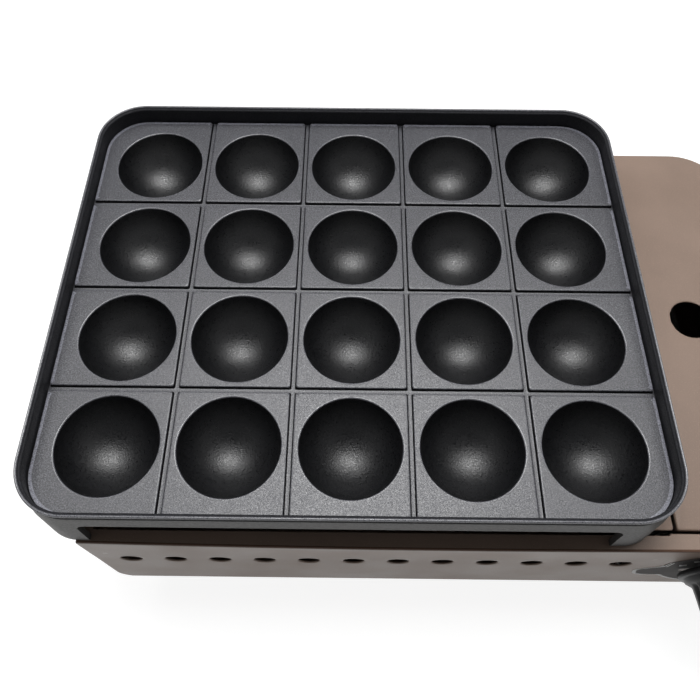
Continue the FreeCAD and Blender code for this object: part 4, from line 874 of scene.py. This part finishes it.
def panel_mesh(sizes):
    """Front panel's outer skin: a strip that folds over the top, the bowed face with
    a row of vents, and lower corners on the casing's edge radius. Columns run along
    X, rows down the section; the vents' band is made of square cells."""
    surface = Surface()
    left, right = PANEL_LOW[0], PANEL_HIGH[0]
    top, low = PANEL_HIGH[2], PANEL_LOW[2]
    pitch = (LAST_VENT - FIRST_VENT) / (sizes.vents - 1)
    vent_z = top - sizes.vent_drop
    band_low, band_high = vent_z - pitch / 2.0, vent_z + pitch / 2.0
    vents_left, vents_right = FIRST_VENT - pitch / 2.0, LAST_VENT + pitch / 2.0
    knob_left, knob_right = KNOB_X - pitch / 2.0, KNOB_X + pitch / 2.0
    steps, shaft_hole = 8, 4.5 * MM
    base = np.concatenate([
        np.linspace(left, vents_left, 8, endpoint=False),
        np.linspace(vents_left, vents_right, steps * sizes.vents, endpoint=False),
        np.linspace(vents_right, knob_left, 12, endpoint=False),
        np.linspace(knob_left, knob_right, steps, endpoint=False),
        np.linspace(knob_right, right, 14)])

    x = strip_columns(base)
    rear, front = strip_rear(x, sizes), front_depth(x, sizes.bow, top)
    fold, hem = sizes.fold, 0.5 * MM
    rows = [(rear, top - TURNED_DOWN), (rear, top - hem)]
    rows += [(rear - hem * (1.0 - math.cos(t)), top - hem * (1.0 - math.sin(t)))
             for t in quarter(5, 15.0)]
    rows += [(rear + 0.6 * (front - rear), top), (front + 1.6 * fold, top)]
    # The five rows over the front fold take the darkened paint: a painted shade line.
    finish = [0] * len(rows) + [1] * 5 + [0] * 7
    rows += [(front + fold * (1.0 - math.cos(t)), top - fold * (1.0 - math.sin(t)))
             for t in quarter(6)[::-1]]
    rows += [(front_depth(x, sizes.bow, z), z)
             for z in np.linspace(top - fold, band_high, 8)[1:]]
    points = np.stack([np.stack(np.broadcast_arrays(x, y, z), axis=-1) for y, z in rows])
    surface.grid(points, finish, (0, -1, 1))

    vents = FIRST_VENT + np.arange(sizes.vents) * pitch
    holes = [((x, vent_z), sizes.vent_radius) for x in vents]
    for (x, z), hole in holes + [((KNOB_X, KNOB_Z), shaft_hole)]:
        flat, depths = hole_rows((x - pitch / 2.0, band_low), (x + pitch / 2.0, band_high),
                                 (x, z), hole, steps, 0.7 * MM)
        surface.grid(on_front(flat[..., 0], flat[..., 1], sizes, depths[:, None]), 0,
                     (0, -1, 0), wrap=True)
    levels = np.linspace(band_high, band_low, steps + 1)
    for begin, stop in ((left, vents_left), (vents_right, knob_left), (knob_right, right)):
        part = base[(base >= begin - 1e-7) & (base <= stop + 1e-7)]
        part = np.append(part, stop) if abs(part[-1] - stop) > 1e-7 else part
        surface.grid(on_front(part[None, :], levels[:, None], sizes), 0, (0, -1, 0))

    radius, under = sizes.low_edge, 2.4 * MM
    turn = quarter(16)
    heights = np.concatenate([[band_low], low + radius - radius * np.sin(turn)])
    depth = under - np.sqrt(under ** 2 - np.clip(under - (heights - low), 0.0, under) ** 2)
    shift = np.concatenate([[0.0], radius * (1.0 - np.cos(turn))])
    middle = (left + right) / 2.0
    share = 1.0 - shift / ((right - left) / 2.0)
    surface.grid(on_front(middle + (base[None, :] - middle) * share[:, None],
                          heights[:, None], sizes, depth[:, None]), 0, (0, -1, 0))
    return surface.mesh("front_skin", weld=1e-5)


def lid_mesh(sizes):
    """Lid's outer skin: a turned-down edge with gaps for the hinges, and a flat top
    that runs to the rolled edge of the finger hole, matched to it by angle."""
    surface = Surface()
    low, high = LID_LOW - np.array([0.0, sizes.seam, 0.0]), LID_HIGH
    top, small = high[2], 1.1 * MM
    hinges = [sum(corners_of("fixed_hinge_leaf_" + end))[1] / 2.0
              for end in ("front", "rear")]
    marks = [y + s * HINGE_GAP + d * MM
             for y in hinges for s in (-1, 1) for d in (-0.05, 0.05)]
    edge, out = rounded_outline(low[:2], high[:2], [small, small, sizes.rear_corner, small],
                                16, 14, marks)
    drop = np.full(len(edge), top - low[2])
    drop[(out[:, 0] < -0.5) | (out[:, 1] < -0.5)] = TURNED_DOWN
    at_hinge = (np.abs(edge[:, 1:] - np.array(hinges)) < HINGE_GAP).any(axis=1)
    drop[at_hinge & (out[:, 0] > 0.5)] = sizes.fold + 0.1 * MM
    rows = [raised(edge, top - drop),
            raised(edge, top - np.minimum(drop, sizes.fold) - 1e-5)]
    rows += folded(edge, out, sizes.fold, top, 10.0)
    flat = rows[-1][:, :2]
    way = ways(flat, FINGER_HOLE)
    roll = 0.6 * MM
    hole = FINGER_HOLE + way * sizes.hole_radius
    ring = FINGER_HOLE + way * (sizes.hole_radius + 1.6 * roll)
    rows += [raised(flat * (1.0 - share) + ring * share, top) for share in (0.5, 0.85, 1.0)]
    rows += rolled(hole, way, roll, top, 5, 15.0)
    surface.grid(rows, 0, (0, 0, 1), wrap=True)
    return surface.mesh("lid_skin")


def well_outline():
    """Outline of the burner well, and its outward directions."""
    return rounded_outline(PLATE_MID - WELL_HALF, PLATE_MID + WELL_HALF,
                           [WELL_CORNER] * 4)


def top_mesh(sizes):
    """Top sheet's outer skin: turned down at its left and rear, flat to the well, and
    rolled down into it. Outline and well have as many points each, matched in turn."""
    surface = Surface()
    low, high = TOP_LOW - np.array([0.0, sizes.seam, 0.0]), TOP_HIGH
    top = high[2]
    edge, out = rounded_outline(low[:2], high[:2], [1.2 * MM] * 3 + [sizes.rear_corner])
    drop = np.where((out[:, 0] < -0.4) | (out[:, 1] > 0.4), top - low[2], 1.0 * MM)
    rows = [raised(edge, top - drop)]
    rows += folded(edge, out, np.where(drop > 2.0 * MM, sizes.fold, 0.4 * MM), top)
    well, well_out = well_outline()
    well = well - well_out * sizes.sheet
    roll = 1.4 * MM
    rows.append(raised((rows[-1][:, :2] + well + well_out * roll) / 2.0, top))
    rows += rolled(well, well_out, roll, top, 6)
    rows.append(raised(well, top - 4.0 * MM))
    surface.grid(rows, 0, (0, 0, 1), wrap=True)
    return surface.mesh("top_skin")


def pan_floor(surface, x, y, slots):
    """The pan's flat floor: the quads inside each slot's bounds are left out."""
    mid_x, mid_y = (x[:-1] + x[1:]) / 2.0, (y[:-1] + y[1:]) / 2.0
    keep = np.ones((len(mid_y), len(mid_x)), bool)
    for x0, x1, y0, y1 in slots:
        keep &= ~np.outer((mid_y > y0) & (mid_y < y1), (mid_x > x0) & (mid_x < x1))
    points = raised(np.stack(np.meshgrid(x, y), axis=-1), PAN_LOW[2])
    surface.grid(points, 0, (0, 0, -1), keep=keep)


def pan_mesh(sizes):
    """Lower casing's outer skin: floor with air slots, and a wall on three sides that
    grows out of it over a quarter circle. The wall is one section carried along the
    left, rear and right sides, lower where the lid's edge swings in."""
    surface = Surface()
    low, high = PAN_LOW, PAN_HIGH
    radius = sizes.low_edge
    corner = sizes.rear_corner - (TOP_LOW[0] - PANEL_LOW[0]) - 1.2 * MM
    inner_x = np.array([low[0] + corner, high[0] - corner])
    inner_y = high[1] - corner
    slot_half, slot_end = 2.5 * MM, 1.2 * MM
    slot_x = PLATE_MID[0] + (np.arange(7) - 3.0) * 20.0 * MM
    slot_y = PLATE_MID[1] + np.array([-40.0, 10.0]) * MM
    x = np.concatenate([np.linspace(inner_x[0], slot_x[0] - 9.0 * MM, 4),
                        (slot_x[:, None] + np.array([-2.5, -1.0, 1.0, 2.5]) * MM).ravel(),
                        np.linspace(slot_x[-1] + 9.0 * MM, inner_x[1], 12)])
    y = np.concatenate([np.linspace(low[1], slot_y[0], 7), slot_y,
                        slot_y + np.array([slot_end, -slot_end]),
                        np.linspace(slot_y[1], inner_y, 8)])
    y = np.unique(np.round(np.unique(y), 8))
    pan_floor(surface, x, y, [(c - slot_half, c + slot_half, *slot_y) for c in slot_x])

    turn = quarter(13)[1:-1]
    left = np.stack([np.full(len(y), inner_x[0]), y], axis=1)
    rear = np.stack([x[1:-1], np.full(len(x) - 2, inner_y)], axis=1)
    right = np.stack([np.full(len(y), inner_x[1]), y[::-1]], axis=1)
    left_arc, right_arc = (np.tile([side_x, inner_y], (len(turn), 1))
                           for side_x in inner_x)
    core = np.concatenate([left, left_arc, left[-1:], rear, right[:1], right_arc, right])
    out = np.concatenate([np.tile([-1.0, 0.0], (len(left), 1)),
                          np.stack([-np.cos(turn), np.sin(turn)], axis=1),
                          np.tile([0.0, 1.0], (len(rear) + 2, 1)),
                          np.stack([np.sin(turn), np.cos(turn)], axis=1),
                          np.tile([1.0, 0.0], (len(right), 1))])
    wall = core + out * corner
    under_lid = wall[:, 0] > LID_HIGH[0] - 22.5 * MM
    top = np.where(under_lid, CASE_TOP - 11.8 * MM, high[2])
    rows = [raised(core, low[2])]
    rows += [raised(core + out * (corner - radius * (1.0 - math.sin(t))),
                    low[2] + radius * (1.0 - math.cos(t))) for t in quarter(9)]
    rows += [raised(wall, low[2] + 30.0 * MM), raised(wall, top)]
    surface.grid(rows, 0, (0, 1, -0.2))
    return surface.mesh("pan_skin", weld=1e-5)


def tray_mesh():
    """Tray's inner skin: flange under the top sheet, wall, rounded foot and floor."""
    surface = Surface()
    low, high = TRAY_LOW[2] + 0.8 * MM, TRAY_HIGH[2]
    well, out = well_outline()
    flange, gap, roll, foot = 5.0 * MM, 0.4 * MM, 1.2 * MM, 6.0 * MM
    rows = [raised(well + out * reach, high) for reach in (flange, gap + roll)]
    rows += rolled(well + out * gap, out, roll, high, 4, 20.0)
    rows += [raised(well + out * (gap - foot * (1.0 - math.cos(t))),
                    low + foot * (1.0 - math.sin(t))) for t in quarter(7)]
    flat = well - out * foot
    rows += [raised(PLATE_MID + (flat - PLATE_MID) * (1.0 - share), low)
             for share in (0.5, 0.98)]
    surface.grid(rows, 0, (0, 0, 1), wrap=True)
    return surface.mesh("tray_skin")


# ---- burner ----------------------------------------------------------------------
def bar_mesh(y):
    """One burner bar: a tube closed by a domed end, whose top is cut flat at each port.
    There the height is the lesser of the tube's and the radius less the dip."""
    surface = Surface()
    radius, dip, ports, around = BAR_RADIUS, 2.0 * MM, 9, 48
    x0, x1 = BURNER_LOW[0], BURNER_HIGH[0] - MANIFOLD_RADIUS
    port_run = 156.0 * MM
    centre = x0 + 8.0 * MM + (np.arange(ports) + 0.5) * port_run / ports
    window = np.array([-1.25, -0.85, -0.75, 0.75, 0.85, 1.25]) * MM
    dome = quarter(6, 10.0)
    x = np.concatenate([x0 + radius * 0.35 * (1.0 - np.cos(dome)),
                        (centre[:, None] + window).ravel(), [x1]])
    size = np.full(len(x), radius)
    size[:len(dome)] = radius * (0.35 + 0.65 * np.sin(dome))
    open_at = np.abs(x[:, None] - centre).min(axis=1) < 0.8 * MM
    turn = round_turn(around)
    height = size[:, None] * np.sin(turn)
    height = np.where(open_at[:, None], np.minimum(height, radius - dip), height)
    points = np.stack([np.broadcast_to(x[:, None], height.shape),
                       y + size[:, None] * np.cos(turn), BURNER_Z + height], axis=-1)
    cap = np.broadcast_to(np.array([x0, y, BURNER_Z]), (1, around, 3))
    surface.grid(np.concatenate([cap, points]), 0, wrap=True)
    return surface.mesh("burner_bar", closed=True)


def manifold_mesh():
    """Cross tube of the burner with domed ends."""
    surface = Surface()
    dome_depth = 3.0 * MM
    y0, y1 = BURNER_LOW[1], BURNER_HIGH[1]
    turn = quarter(7)
    dome = np.stack([MANIFOLD_RADIUS * np.sin(turn),
                     y0 + dome_depth * (1.0 - np.cos(turn))], axis=1)
    other = np.stack([dome[::-1, 0], y0 + y1 - dome[::-1, 1]], axis=1)
    surface.grid(turned(np.concatenate([dome, other]),
                        (MANIFOLD_X, 0.0, BURNER_Z), "Y", 48), wrap=True)
    return surface.mesh("burner_manifold", closed=True)


# ---- knob and dial ---------------------------------------------------------------
def knob_mesh(sizes):
    """Knob: a profile turned round its axis, whose grip is fluted. A flute takes its
    depth, times a narrow bell of the angle from its middle, off the radius."""
    surface = Surface()
    back, tip = KNOB_HIGH[1], KNOB_LOW[1]
    flange, grip, end = sizes.flange_radius, sizes.grip_radius, sizes.tip_radius
    front = back - sizes.flange
    slope = (grip - end) / (front - tip)
    rim = back - 2.4 * MM
    # Radius, Y, and the share of a flute's depth that is cut there.
    profile = np.array([
        (0.0, back, 0), (flange - 0.4 * MM, back, 0), (flange, back - 0.4 * MM, 0),
        (flange, rim + 0.5 * MM, 0), (flange - 0.15 * MM, rim + 0.15 * MM, 0),
        (flange - 0.6 * MM, rim, 0), (flange - 1.8 * MM, rim - 0.3 * MM, 0),
        (grip + 2.6 * MM, front + 1.0 * MM, 0), (grip + 1.2 * MM, front, 0),
        (grip + 0.5 * MM, front - 0.4 * MM, 0.5), (grip, front - 1.4 * MM, 1),
        (grip - slope * 5.0 * MM, front - 5.0 * MM, 1),
        (grip - slope * 12.0 * MM, front - 12.0 * MM, 1),
        (end + 0.1 * MM, tip + 2.4 * MM, 1), (end - 0.3 * MM, tip + 1.2 * MM, 1),
        (end - 1.0 * MM, tip + 0.4 * MM, 0.8), (end - 2.0 * MM, tip, 0.3),
        (end - 4.2 * MM, tip, 0), (end - 4.8 * MM, tip + 0.5 * MM, 0),
        (0.0, tip + 0.7 * MM, 0)])
    around = 16 * sizes.flutes
    past = (round_turn(around) * sizes.flutes / (2.0 * math.pi) + 0.5) % 1.0 - 0.5
    cut = sizes.flute_depth * profile[:, 2:] * np.exp(-(past / 0.13) ** 2)
    surface.grid(turned(profile, (KNOB_X, 0.0, KNOB_Z), "Y", around, cut), wrap=True)
    return surface.mesh("fluted_knob", closed=True)


def dial_mesh(sizes, knob):
    """Thin print behind the knob, laid on the panel: a disc with a rounded tail, whose
    radius is the disc's plus a flat-topped bell of the angle past the tail's middle.
    Rings grow from the shaft outwards; part of the outermost is a pale line."""
    surface = Surface()
    turn = round_turn(240)
    past = np.degrees(turn) - 195.0
    reach = knob.dial_radius * (1.0 + 0.33 * np.exp(-(past / 13.5) ** 4))
    lined = (past > -24.0) & (past < 75.0)
    centre = np.array([KNOB_X + 3.0 * MM, KNOB_Z - 8.5 * MM])
    rows = []
    # Mm inside the print's edge, and mm in front of the panel.
    for inside, lift in ((20.0, 0.12), (8.0, 0.12), (1.61, 0.12), (1.6, 0.15),
                         (0.0, 0.15), (-0.02, -0.05)):
        flat = centre[:, None] + (reach - inside * MM) * np.stack([np.cos(turn),
                                                                   np.sin(turn)])
        rows.append(on_front(flat[0], flat[1], sizes, -lift * MM))
    finish = np.zeros((len(rows) - 1, len(turn)), int)
    finish[3:, lined] = 1
    surface.grid(rows, finish, (0, -1, 0), wrap=True)
    # Dashes beside the dial, in mm: half width, start and end from the plate's middle.
    dashes = [(1.7, (147.4, 65.2), (150.4, 66.2)), (1.7, (150.6, 73.6), (153.2, 75.0)),
              (0.35, (141.6, 62.4), (141.9, 71.0)), (0.35, (143.0, 62.0), (143.3, 70.6))]
    for width, start, end in dashes:
        line = (PLATE_MID[0], 0.0) + np.linspace(start, end, 4) * MM
        along = (line[-1] - line[0]) / np.linalg.norm(line[-1] - line[0])
        over = np.array([-along[1], along[0]]) * width * MM
        dash = np.stack([line - over, line + over])
        surface.grid(on_front(dash[..., 0], dash[..., 1], sizes, -0.2 * MM), 1, (0, -1, 0))
    return surface.mesh("dial_print")


# ---- feet and small parts ----------------------------------------------------------
def under(node):
    """The place on the floor below a node's middle."""
    low, high = corners_of(node)
    return (*((low + high) / 2.0)[:2], 0.0)


def foot_mesh(node):
    """Moulded foot: a tapered turned body with a rounded shoulder and a flared base."""
    surface = Surface()
    z0, z1 = (corner[2] for corner in corners_of(node))
    profile = [(0.0, z1), (14.6, z1), (15.0, z1 - 0.4 * MM), (15.0, z1 - 2.2 * MM),
               (14.3, z1 - 3.0 * MM), (13.9, z1 - 4.2 * MM), (11.7, z0 + 1.2 * MM),
               (11.4, z0 + 0.4 * MM), (11.0, z0), (10.2, z0), (10.1, z0 + 1.9 * MM),
               (0.0, z0 + 1.9 * MM)]
    surface.grid(turned(np.array(profile) * (MM, 1.0), under(node)), wrap=True)
    return surface.mesh("moulded_foot", closed=True)


def pad_meshes():
    """Rubber pads: a turned disc each, with a rounded lower edge and two ring grooves."""
    surface = Surface()
    top = corners_of("foot_pads")[1][2] / MM
    profile = [(0.0, top), (9.6, top), (9.9, top - 0.3), (9.9, 0.7), (9.6, 0.2),
               (9.0, 0.0), (7.2, 0.0), (6.9, 0.5), (6.1, 0.5), (5.8, 0.0), (3.4, 0.0),
               (3.1, 0.5), (0.0, 0.5)]
    for node in FEET:
        surface.grid(turned(np.array(profile) * MM, under(node), "Z", 48), wrap=True)
    return surface.mesh("rubber_pads", closed=True)


def softened(node, body, slot, finish):
    """A frame node's shape with its triangles merged and its hard edges eased."""
    mesh = frame["nodes"][node].data.copy()
    mesh.materials.clear()
    work = bmesh.new()
    work.from_mesh(mesh)
    bmesh.ops.remove_doubles(work, verts=work.verts, dist=2e-6)
    bmesh.ops.dissolve_limit(work, angle_limit=1.0 * DEG, verts=work.verts,
                             edges=work.edges)
    work.to_mesh(mesh)
    work.free()
    mesh.name = node + "_eased"
    return piece(node + "_eased", mesh, body, slot, [node], [finish], sharp=38.0,
                 bevel=0.25 * MM)


# ---- floor, surroundings, lamps and camera -----------------------------------------
def floor_material():
    """Pale floor that shows as white where no shadow falls: a matt grey, and a glow
    that only the camera and mirror reflections see."""
    material = bpy.data.materials.new("pale_floor")
    material.use_nodes = True
    material.node_tree.nodes.clear()
    tree = Nodes(material.node_tree)
    path = tree.node("LightPath").outputs
    seen = tree.sums("MAXIMUM", path["Is Camera Ray"], path["Is Glossy Ray"])
    matt = tree.node("BsdfDiffuse", {"Color": (0.32, 0.32, 0.32)})
    dark, glow = (tree.node("Emission", {"Strength": power}) for power in (0.0, 1.0))
    level = tree.node("MixShader", {0: tree.sums("MULTIPLY", seen, 0.88),
                                    1: dark.outputs[0], 2: glow.outputs[0]})
    both = tree.node("AddShader", {0: matt.outputs[0], 1: level.outputs[0]})
    tree.node("OutputMaterial", {0: both.outputs[0]})
    return material


def sky(scene):
    """White surroundings as seen; as a light dim, and in reflections fading upwards."""
    world = bpy.data.worlds.new("surroundings")
    scene.world = world
    world.use_nodes = True
    tree = Nodes(world.node_tree)
    path = tree.node("LightPath").outputs
    mirrored = tree.sums("MAXIMUM", path["Is Camera Ray"], path["Is Glossy Ray"])
    direct = tree.sums("MAXIMUM", mirrored, path["Is Transmission Ray"])
    height = tree.axis(tree.node("TexCoord").outputs["Generated"], "Z")
    seen = tree.sums("MAXIMUM", path["Is Camera Ray"],
                     tree.spread(height, 0.25, 0.75, 1.0, 0.03))
    strength = tree.node("Mix", {0: direct, 2: 0.12, 3: seen}).outputs[0]
    tree.feed(tree.tree.nodes["Background"],
              {"Color": (1.0, 1.0, 1.0), "Strength": strength})


def lamp(name, place, target, size, watts):
    """Oblong soft light at a place, turned to its target."""
    light = bpy.data.lights.new(name, "AREA")
    light.shape = "RECTANGLE"
    light.size, light.size_y = size
    light.energy = watts
    thing = bpy.data.objects.new(name, light)
    bpy.context.scene.collection.objects.link(thing)
    away = np.array(place) - np.array(target)
    away /= np.linalg.norm(away)
    right = np.cross((0.0, 1.0, 0.01), away)
    right /= np.linalg.norm(right)
    turn = np.eye(4)
    turn[:3] = np.stack([right, np.cross(away, right), away, place], axis=1)
    thing.matrix_world = Matrix(turn.tolist())


def camera(scene):
    """Camera over the plate's front edge, looking down and back."""
    data = bpy.data.cameras.new("camera")
    data.sensor_width = SENSOR_WIDTH
    data.lens = SENSOR_WIDTH * CAMERA_FOCUS / RENDER_WIDTH
    data.shift_y = -CAMERA_RISE / RENDER_WIDTH
    data.clip_start = 0.01
    thing = bpy.data.objects.new("camera", data)
    scene.collection.objects.link(thing)
    turns = [Matrix.Rotation(a, 3, axis) for a, axis in zip(CAMERA_TURN, "XYZ")]
    into = turns[0] @ turns[1] @ turns[2]
    pose = (into.transposed() @ Matrix.Diagonal((1.0, -1.0, -1.0))).to_4x4()
    pose.translation = CAMERA_PLACE
    thing.matrix_world = pose
    scene.camera = thing


# Each lamp: its place, its target, its two sizes, and its power in watts.
LAMPS = {
    "overhead": ((-0.02, 0.26, 1.12), (-0.02, 0.02, 0.10), (1.45, 0.6), 9.0),
    "core": ((-0.04, 0.19, 1.10), (-0.04, 0.02, 0.10), (0.45, 0.4), 6.5),
    "left_fill": ((-1.1, -0.5, 0.8), (-0.04, 0.0, 0.06), (0.9, 0.9), 0.4),
    "right_fill": ((1.1, -0.3, 0.8), (-0.04, 0.0, 0.06), (0.9, 0.9), 0.4),
}


# ---- operators -------------------------------------------------------------------
def done(*things):
    """An operator's answer once its pieces exist."""
    if not things or any(len(t.data.polygons) == 0 for t in things):
        raise RuntimeError("a piece came out empty")
    return {"FINISHED"}


class COOKER_OT_plate(bpy.types.Operator):
    """Build the cast plate with its twenty cups"""
    bl_idname = "cooker.plate"
    bl_label = "Cast plate"

    def execute(self, context):
        mesh = plate_mesh(context.scene.cooker_plate)
        return done(piece("cast_plate", mesh, "plate", "plate_coating", ["cooking_plate"],
                          PLATE_FINISHES, sharp=50.0, weighted=True))


class COOKER_OT_casing(bpy.types.Operator):
    """Build the front panel, the lower casing and the top sheet"""
    bl_idname = "cooker.casing"
    bl_label = "Casing"

    def execute(self, context):
        sizes = context.scene.cooker_casing
        return done(
            piece("front_skin", panel_mesh(sizes), "casing", "casing_paint",
                  ["front_panel"], ["casing_paint", "fold_painted_shade"], solid=sizes.sheet),
            piece("pan_skin", pan_mesh(sizes), "casing", "casing_paint", ["case_pan"],
                  solid=sizes.sheet),
            piece("top_skin", top_mesh(sizes), "casing", "casing_paint", ["top_panel"],
                  solid=sizes.sheet))


class COOKER_OT_lid(bpy.types.Operator):
    """Build the canister lid"""
    bl_idname = "cooker.lid"
    bl_label = "Canister lid"

    def execute(self, context):
        sizes = context.scene.cooker_casing
        return done(piece("lid_skin", lid_mesh(sizes), "lid", "casing_paint",
                          ["canister_lid"], solid=sizes.sheet))


class COOKER_OT_burner(bpy.types.Operator):
    """Build the burner bars, their cross tube and the tray"""
    bl_idname = "cooker.burner"
    bl_label = "Burner and tray"

    def execute(self, context):
        pitch = context.scene.cooker_plate.pitch
        bars = [piece("burner_bar_%d" % (i + 1), bar_mesh(PLATE_MID[1] + (i - 1) * pitch),
                      "casing", "burner_steel", ["burner"]) for i in range(3)]
        return done(
            *bars,
            piece("burner_manifold", manifold_mesh(), "casing", "burner_steel",
                  ["burner"]),
            piece("tray_skin", tray_mesh(), "casing", "tray_steel", ["burner_tray"],
                  solid=0.8 * MM))


class COOKER_OT_knob(bpy.types.Operator):
    """Build the knob and the print behind it"""
    bl_idname = "cooker.knob"
    bl_label = "Knob and dial"

    def execute(self, context):
        knob = context.scene.cooker_knob
        return done(
            piece("fluted_knob", knob_mesh(knob), "knob", "knob_plastic", ["knob"],
                  sharp=50.0),
            piece("dial_print", dial_mesh(context.scene.cooker_casing, knob), "casing",
                  "dial_plastic", ["dial_plate"], ["dial_plastic", "dial_line"]))


class COOKER_OT_feet(bpy.types.Operator):
    """Build the moulded feet and their rubber pads"""
    bl_idname = "cooker.feet"
    bl_label = "Feet"

    def execute(self, context):
        feet = [piece(node + "_moulded", foot_mesh(node), "casing", "foot_plastic", [node])
                for node in FEET]
        return done(*feet, piece("rubber_pads", pad_meshes(), "casing", "pad_rubber",
                                 ["foot_pads"]))


class COOKER_OT_fittings(bpy.types.Operator):
    """Ease the edges of the inner fittings and give them their finishes"""
    bl_idname = "cooker.fittings"
    bl_label = "Inner fittings"

    def execute(self, context):
        slots = {s["node"]: s["material_slot"] for s in frame["record"]["subparts"]}
        # The heat shield takes the darkened steel: painted shade behind the vents.
        finishes = {**slots, "heat_shield": "shield_steel"}
        return done(*[softened(node, body, slots[node], finishes[node])
                      for body, nodes in frame["record"]["behaviour"]["bodies"].items()
                      for node in nodes if not frame["nodes"][node].hide_render])


class COOKER_OT_stage(bpy.types.Operator):
    """Set the floor, the soft lights and the camera"""
    bl_idname = "cooker.stage"
    bl_label = "Stage"

    def execute(self, context):
        scene = context.scene
        floor = bpy.data.meshes.new("floor")
        size = 6.0
        floor.from_pydata([(-size, -size, 0), (size, -size, 0), (size, size, 0),
                           (-size, size, 0)], [], [(0, 1, 2, 3)])
        floor.materials.append(floor_material())
        ground = bpy.data.objects.new("floor", floor)
        scene.collection.objects.link(ground)
        for name, values in LAMPS.items():
            lamp(name, *values)
        sky(scene)
        camera(scene)
        scene.view_settings.view_transform = "Standard"
        return {"FINISHED"}


class COOKER_PT_panel(bpy.types.Panel):
    """Lists the cooker's sizes, colours and pieces in the sidebar"""
    bl_label = "Ball-cake cooker"
    bl_idname = "COOKER_PT_panel"
    bl_space_type = "VIEW_3D"
    bl_region_type = "UI"
    bl_category = "Cooker"

    def draw(self, context):
        for name in GROUPS:
            group = getattr(context.scene, name)
            for setting in group.bl_rna.properties.keys():
                if setting not in ("rna_type", "name"):
                    self.layout.prop(group, setting)
        for operator in OPERATORS:
            self.layout.operator(operator.bl_idname)


GROUPS = {
    "cooker_plate": PlateSizes,
    "cooker_casing": CasingSizes,
    "cooker_knob": KnobSizes,
    "cooker_finishes": FinishColours,
}
OPERATORS = [COOKER_OT_plate, COOKER_OT_casing, COOKER_OT_lid, COOKER_OT_burner,
             COOKER_OT_knob, COOKER_OT_feet, COOKER_OT_fittings, COOKER_OT_stage]


def register():
    for group in GROUPS.values():
        bpy.utils.register_class(group)
    for name, group in GROUPS.items():
        setattr(bpy.types.Scene, name, bpy.props.PointerProperty(type=group))
    for operator in OPERATORS:
        bpy.utils.register_class(operator)
    bpy.utils.register_class(COOKER_PT_panel)


def unregister():
    bpy.utils.unregister_class(COOKER_PT_panel)
    for operator in reversed(OPERATORS):
        bpy.utils.unregister_class(operator)
    for name in GROUPS:
        delattr(bpy.types.Scene, name)
    for group in GROUPS.values():
        bpy.utils.unregister_class(group)


def main():
    register()
    bpy.ops.cooker.plate()
    bpy.ops.cooker.casing()
    bpy.ops.cooker.lid()
    bpy.ops.cooker.burner()
    bpy.ops.cooker.knob()
    bpy.ops.cooker.feet()
    bpy.ops.cooker.fittings()
    bpy.ops.cooker.stage()


if __name__ == "__main__":
    main()
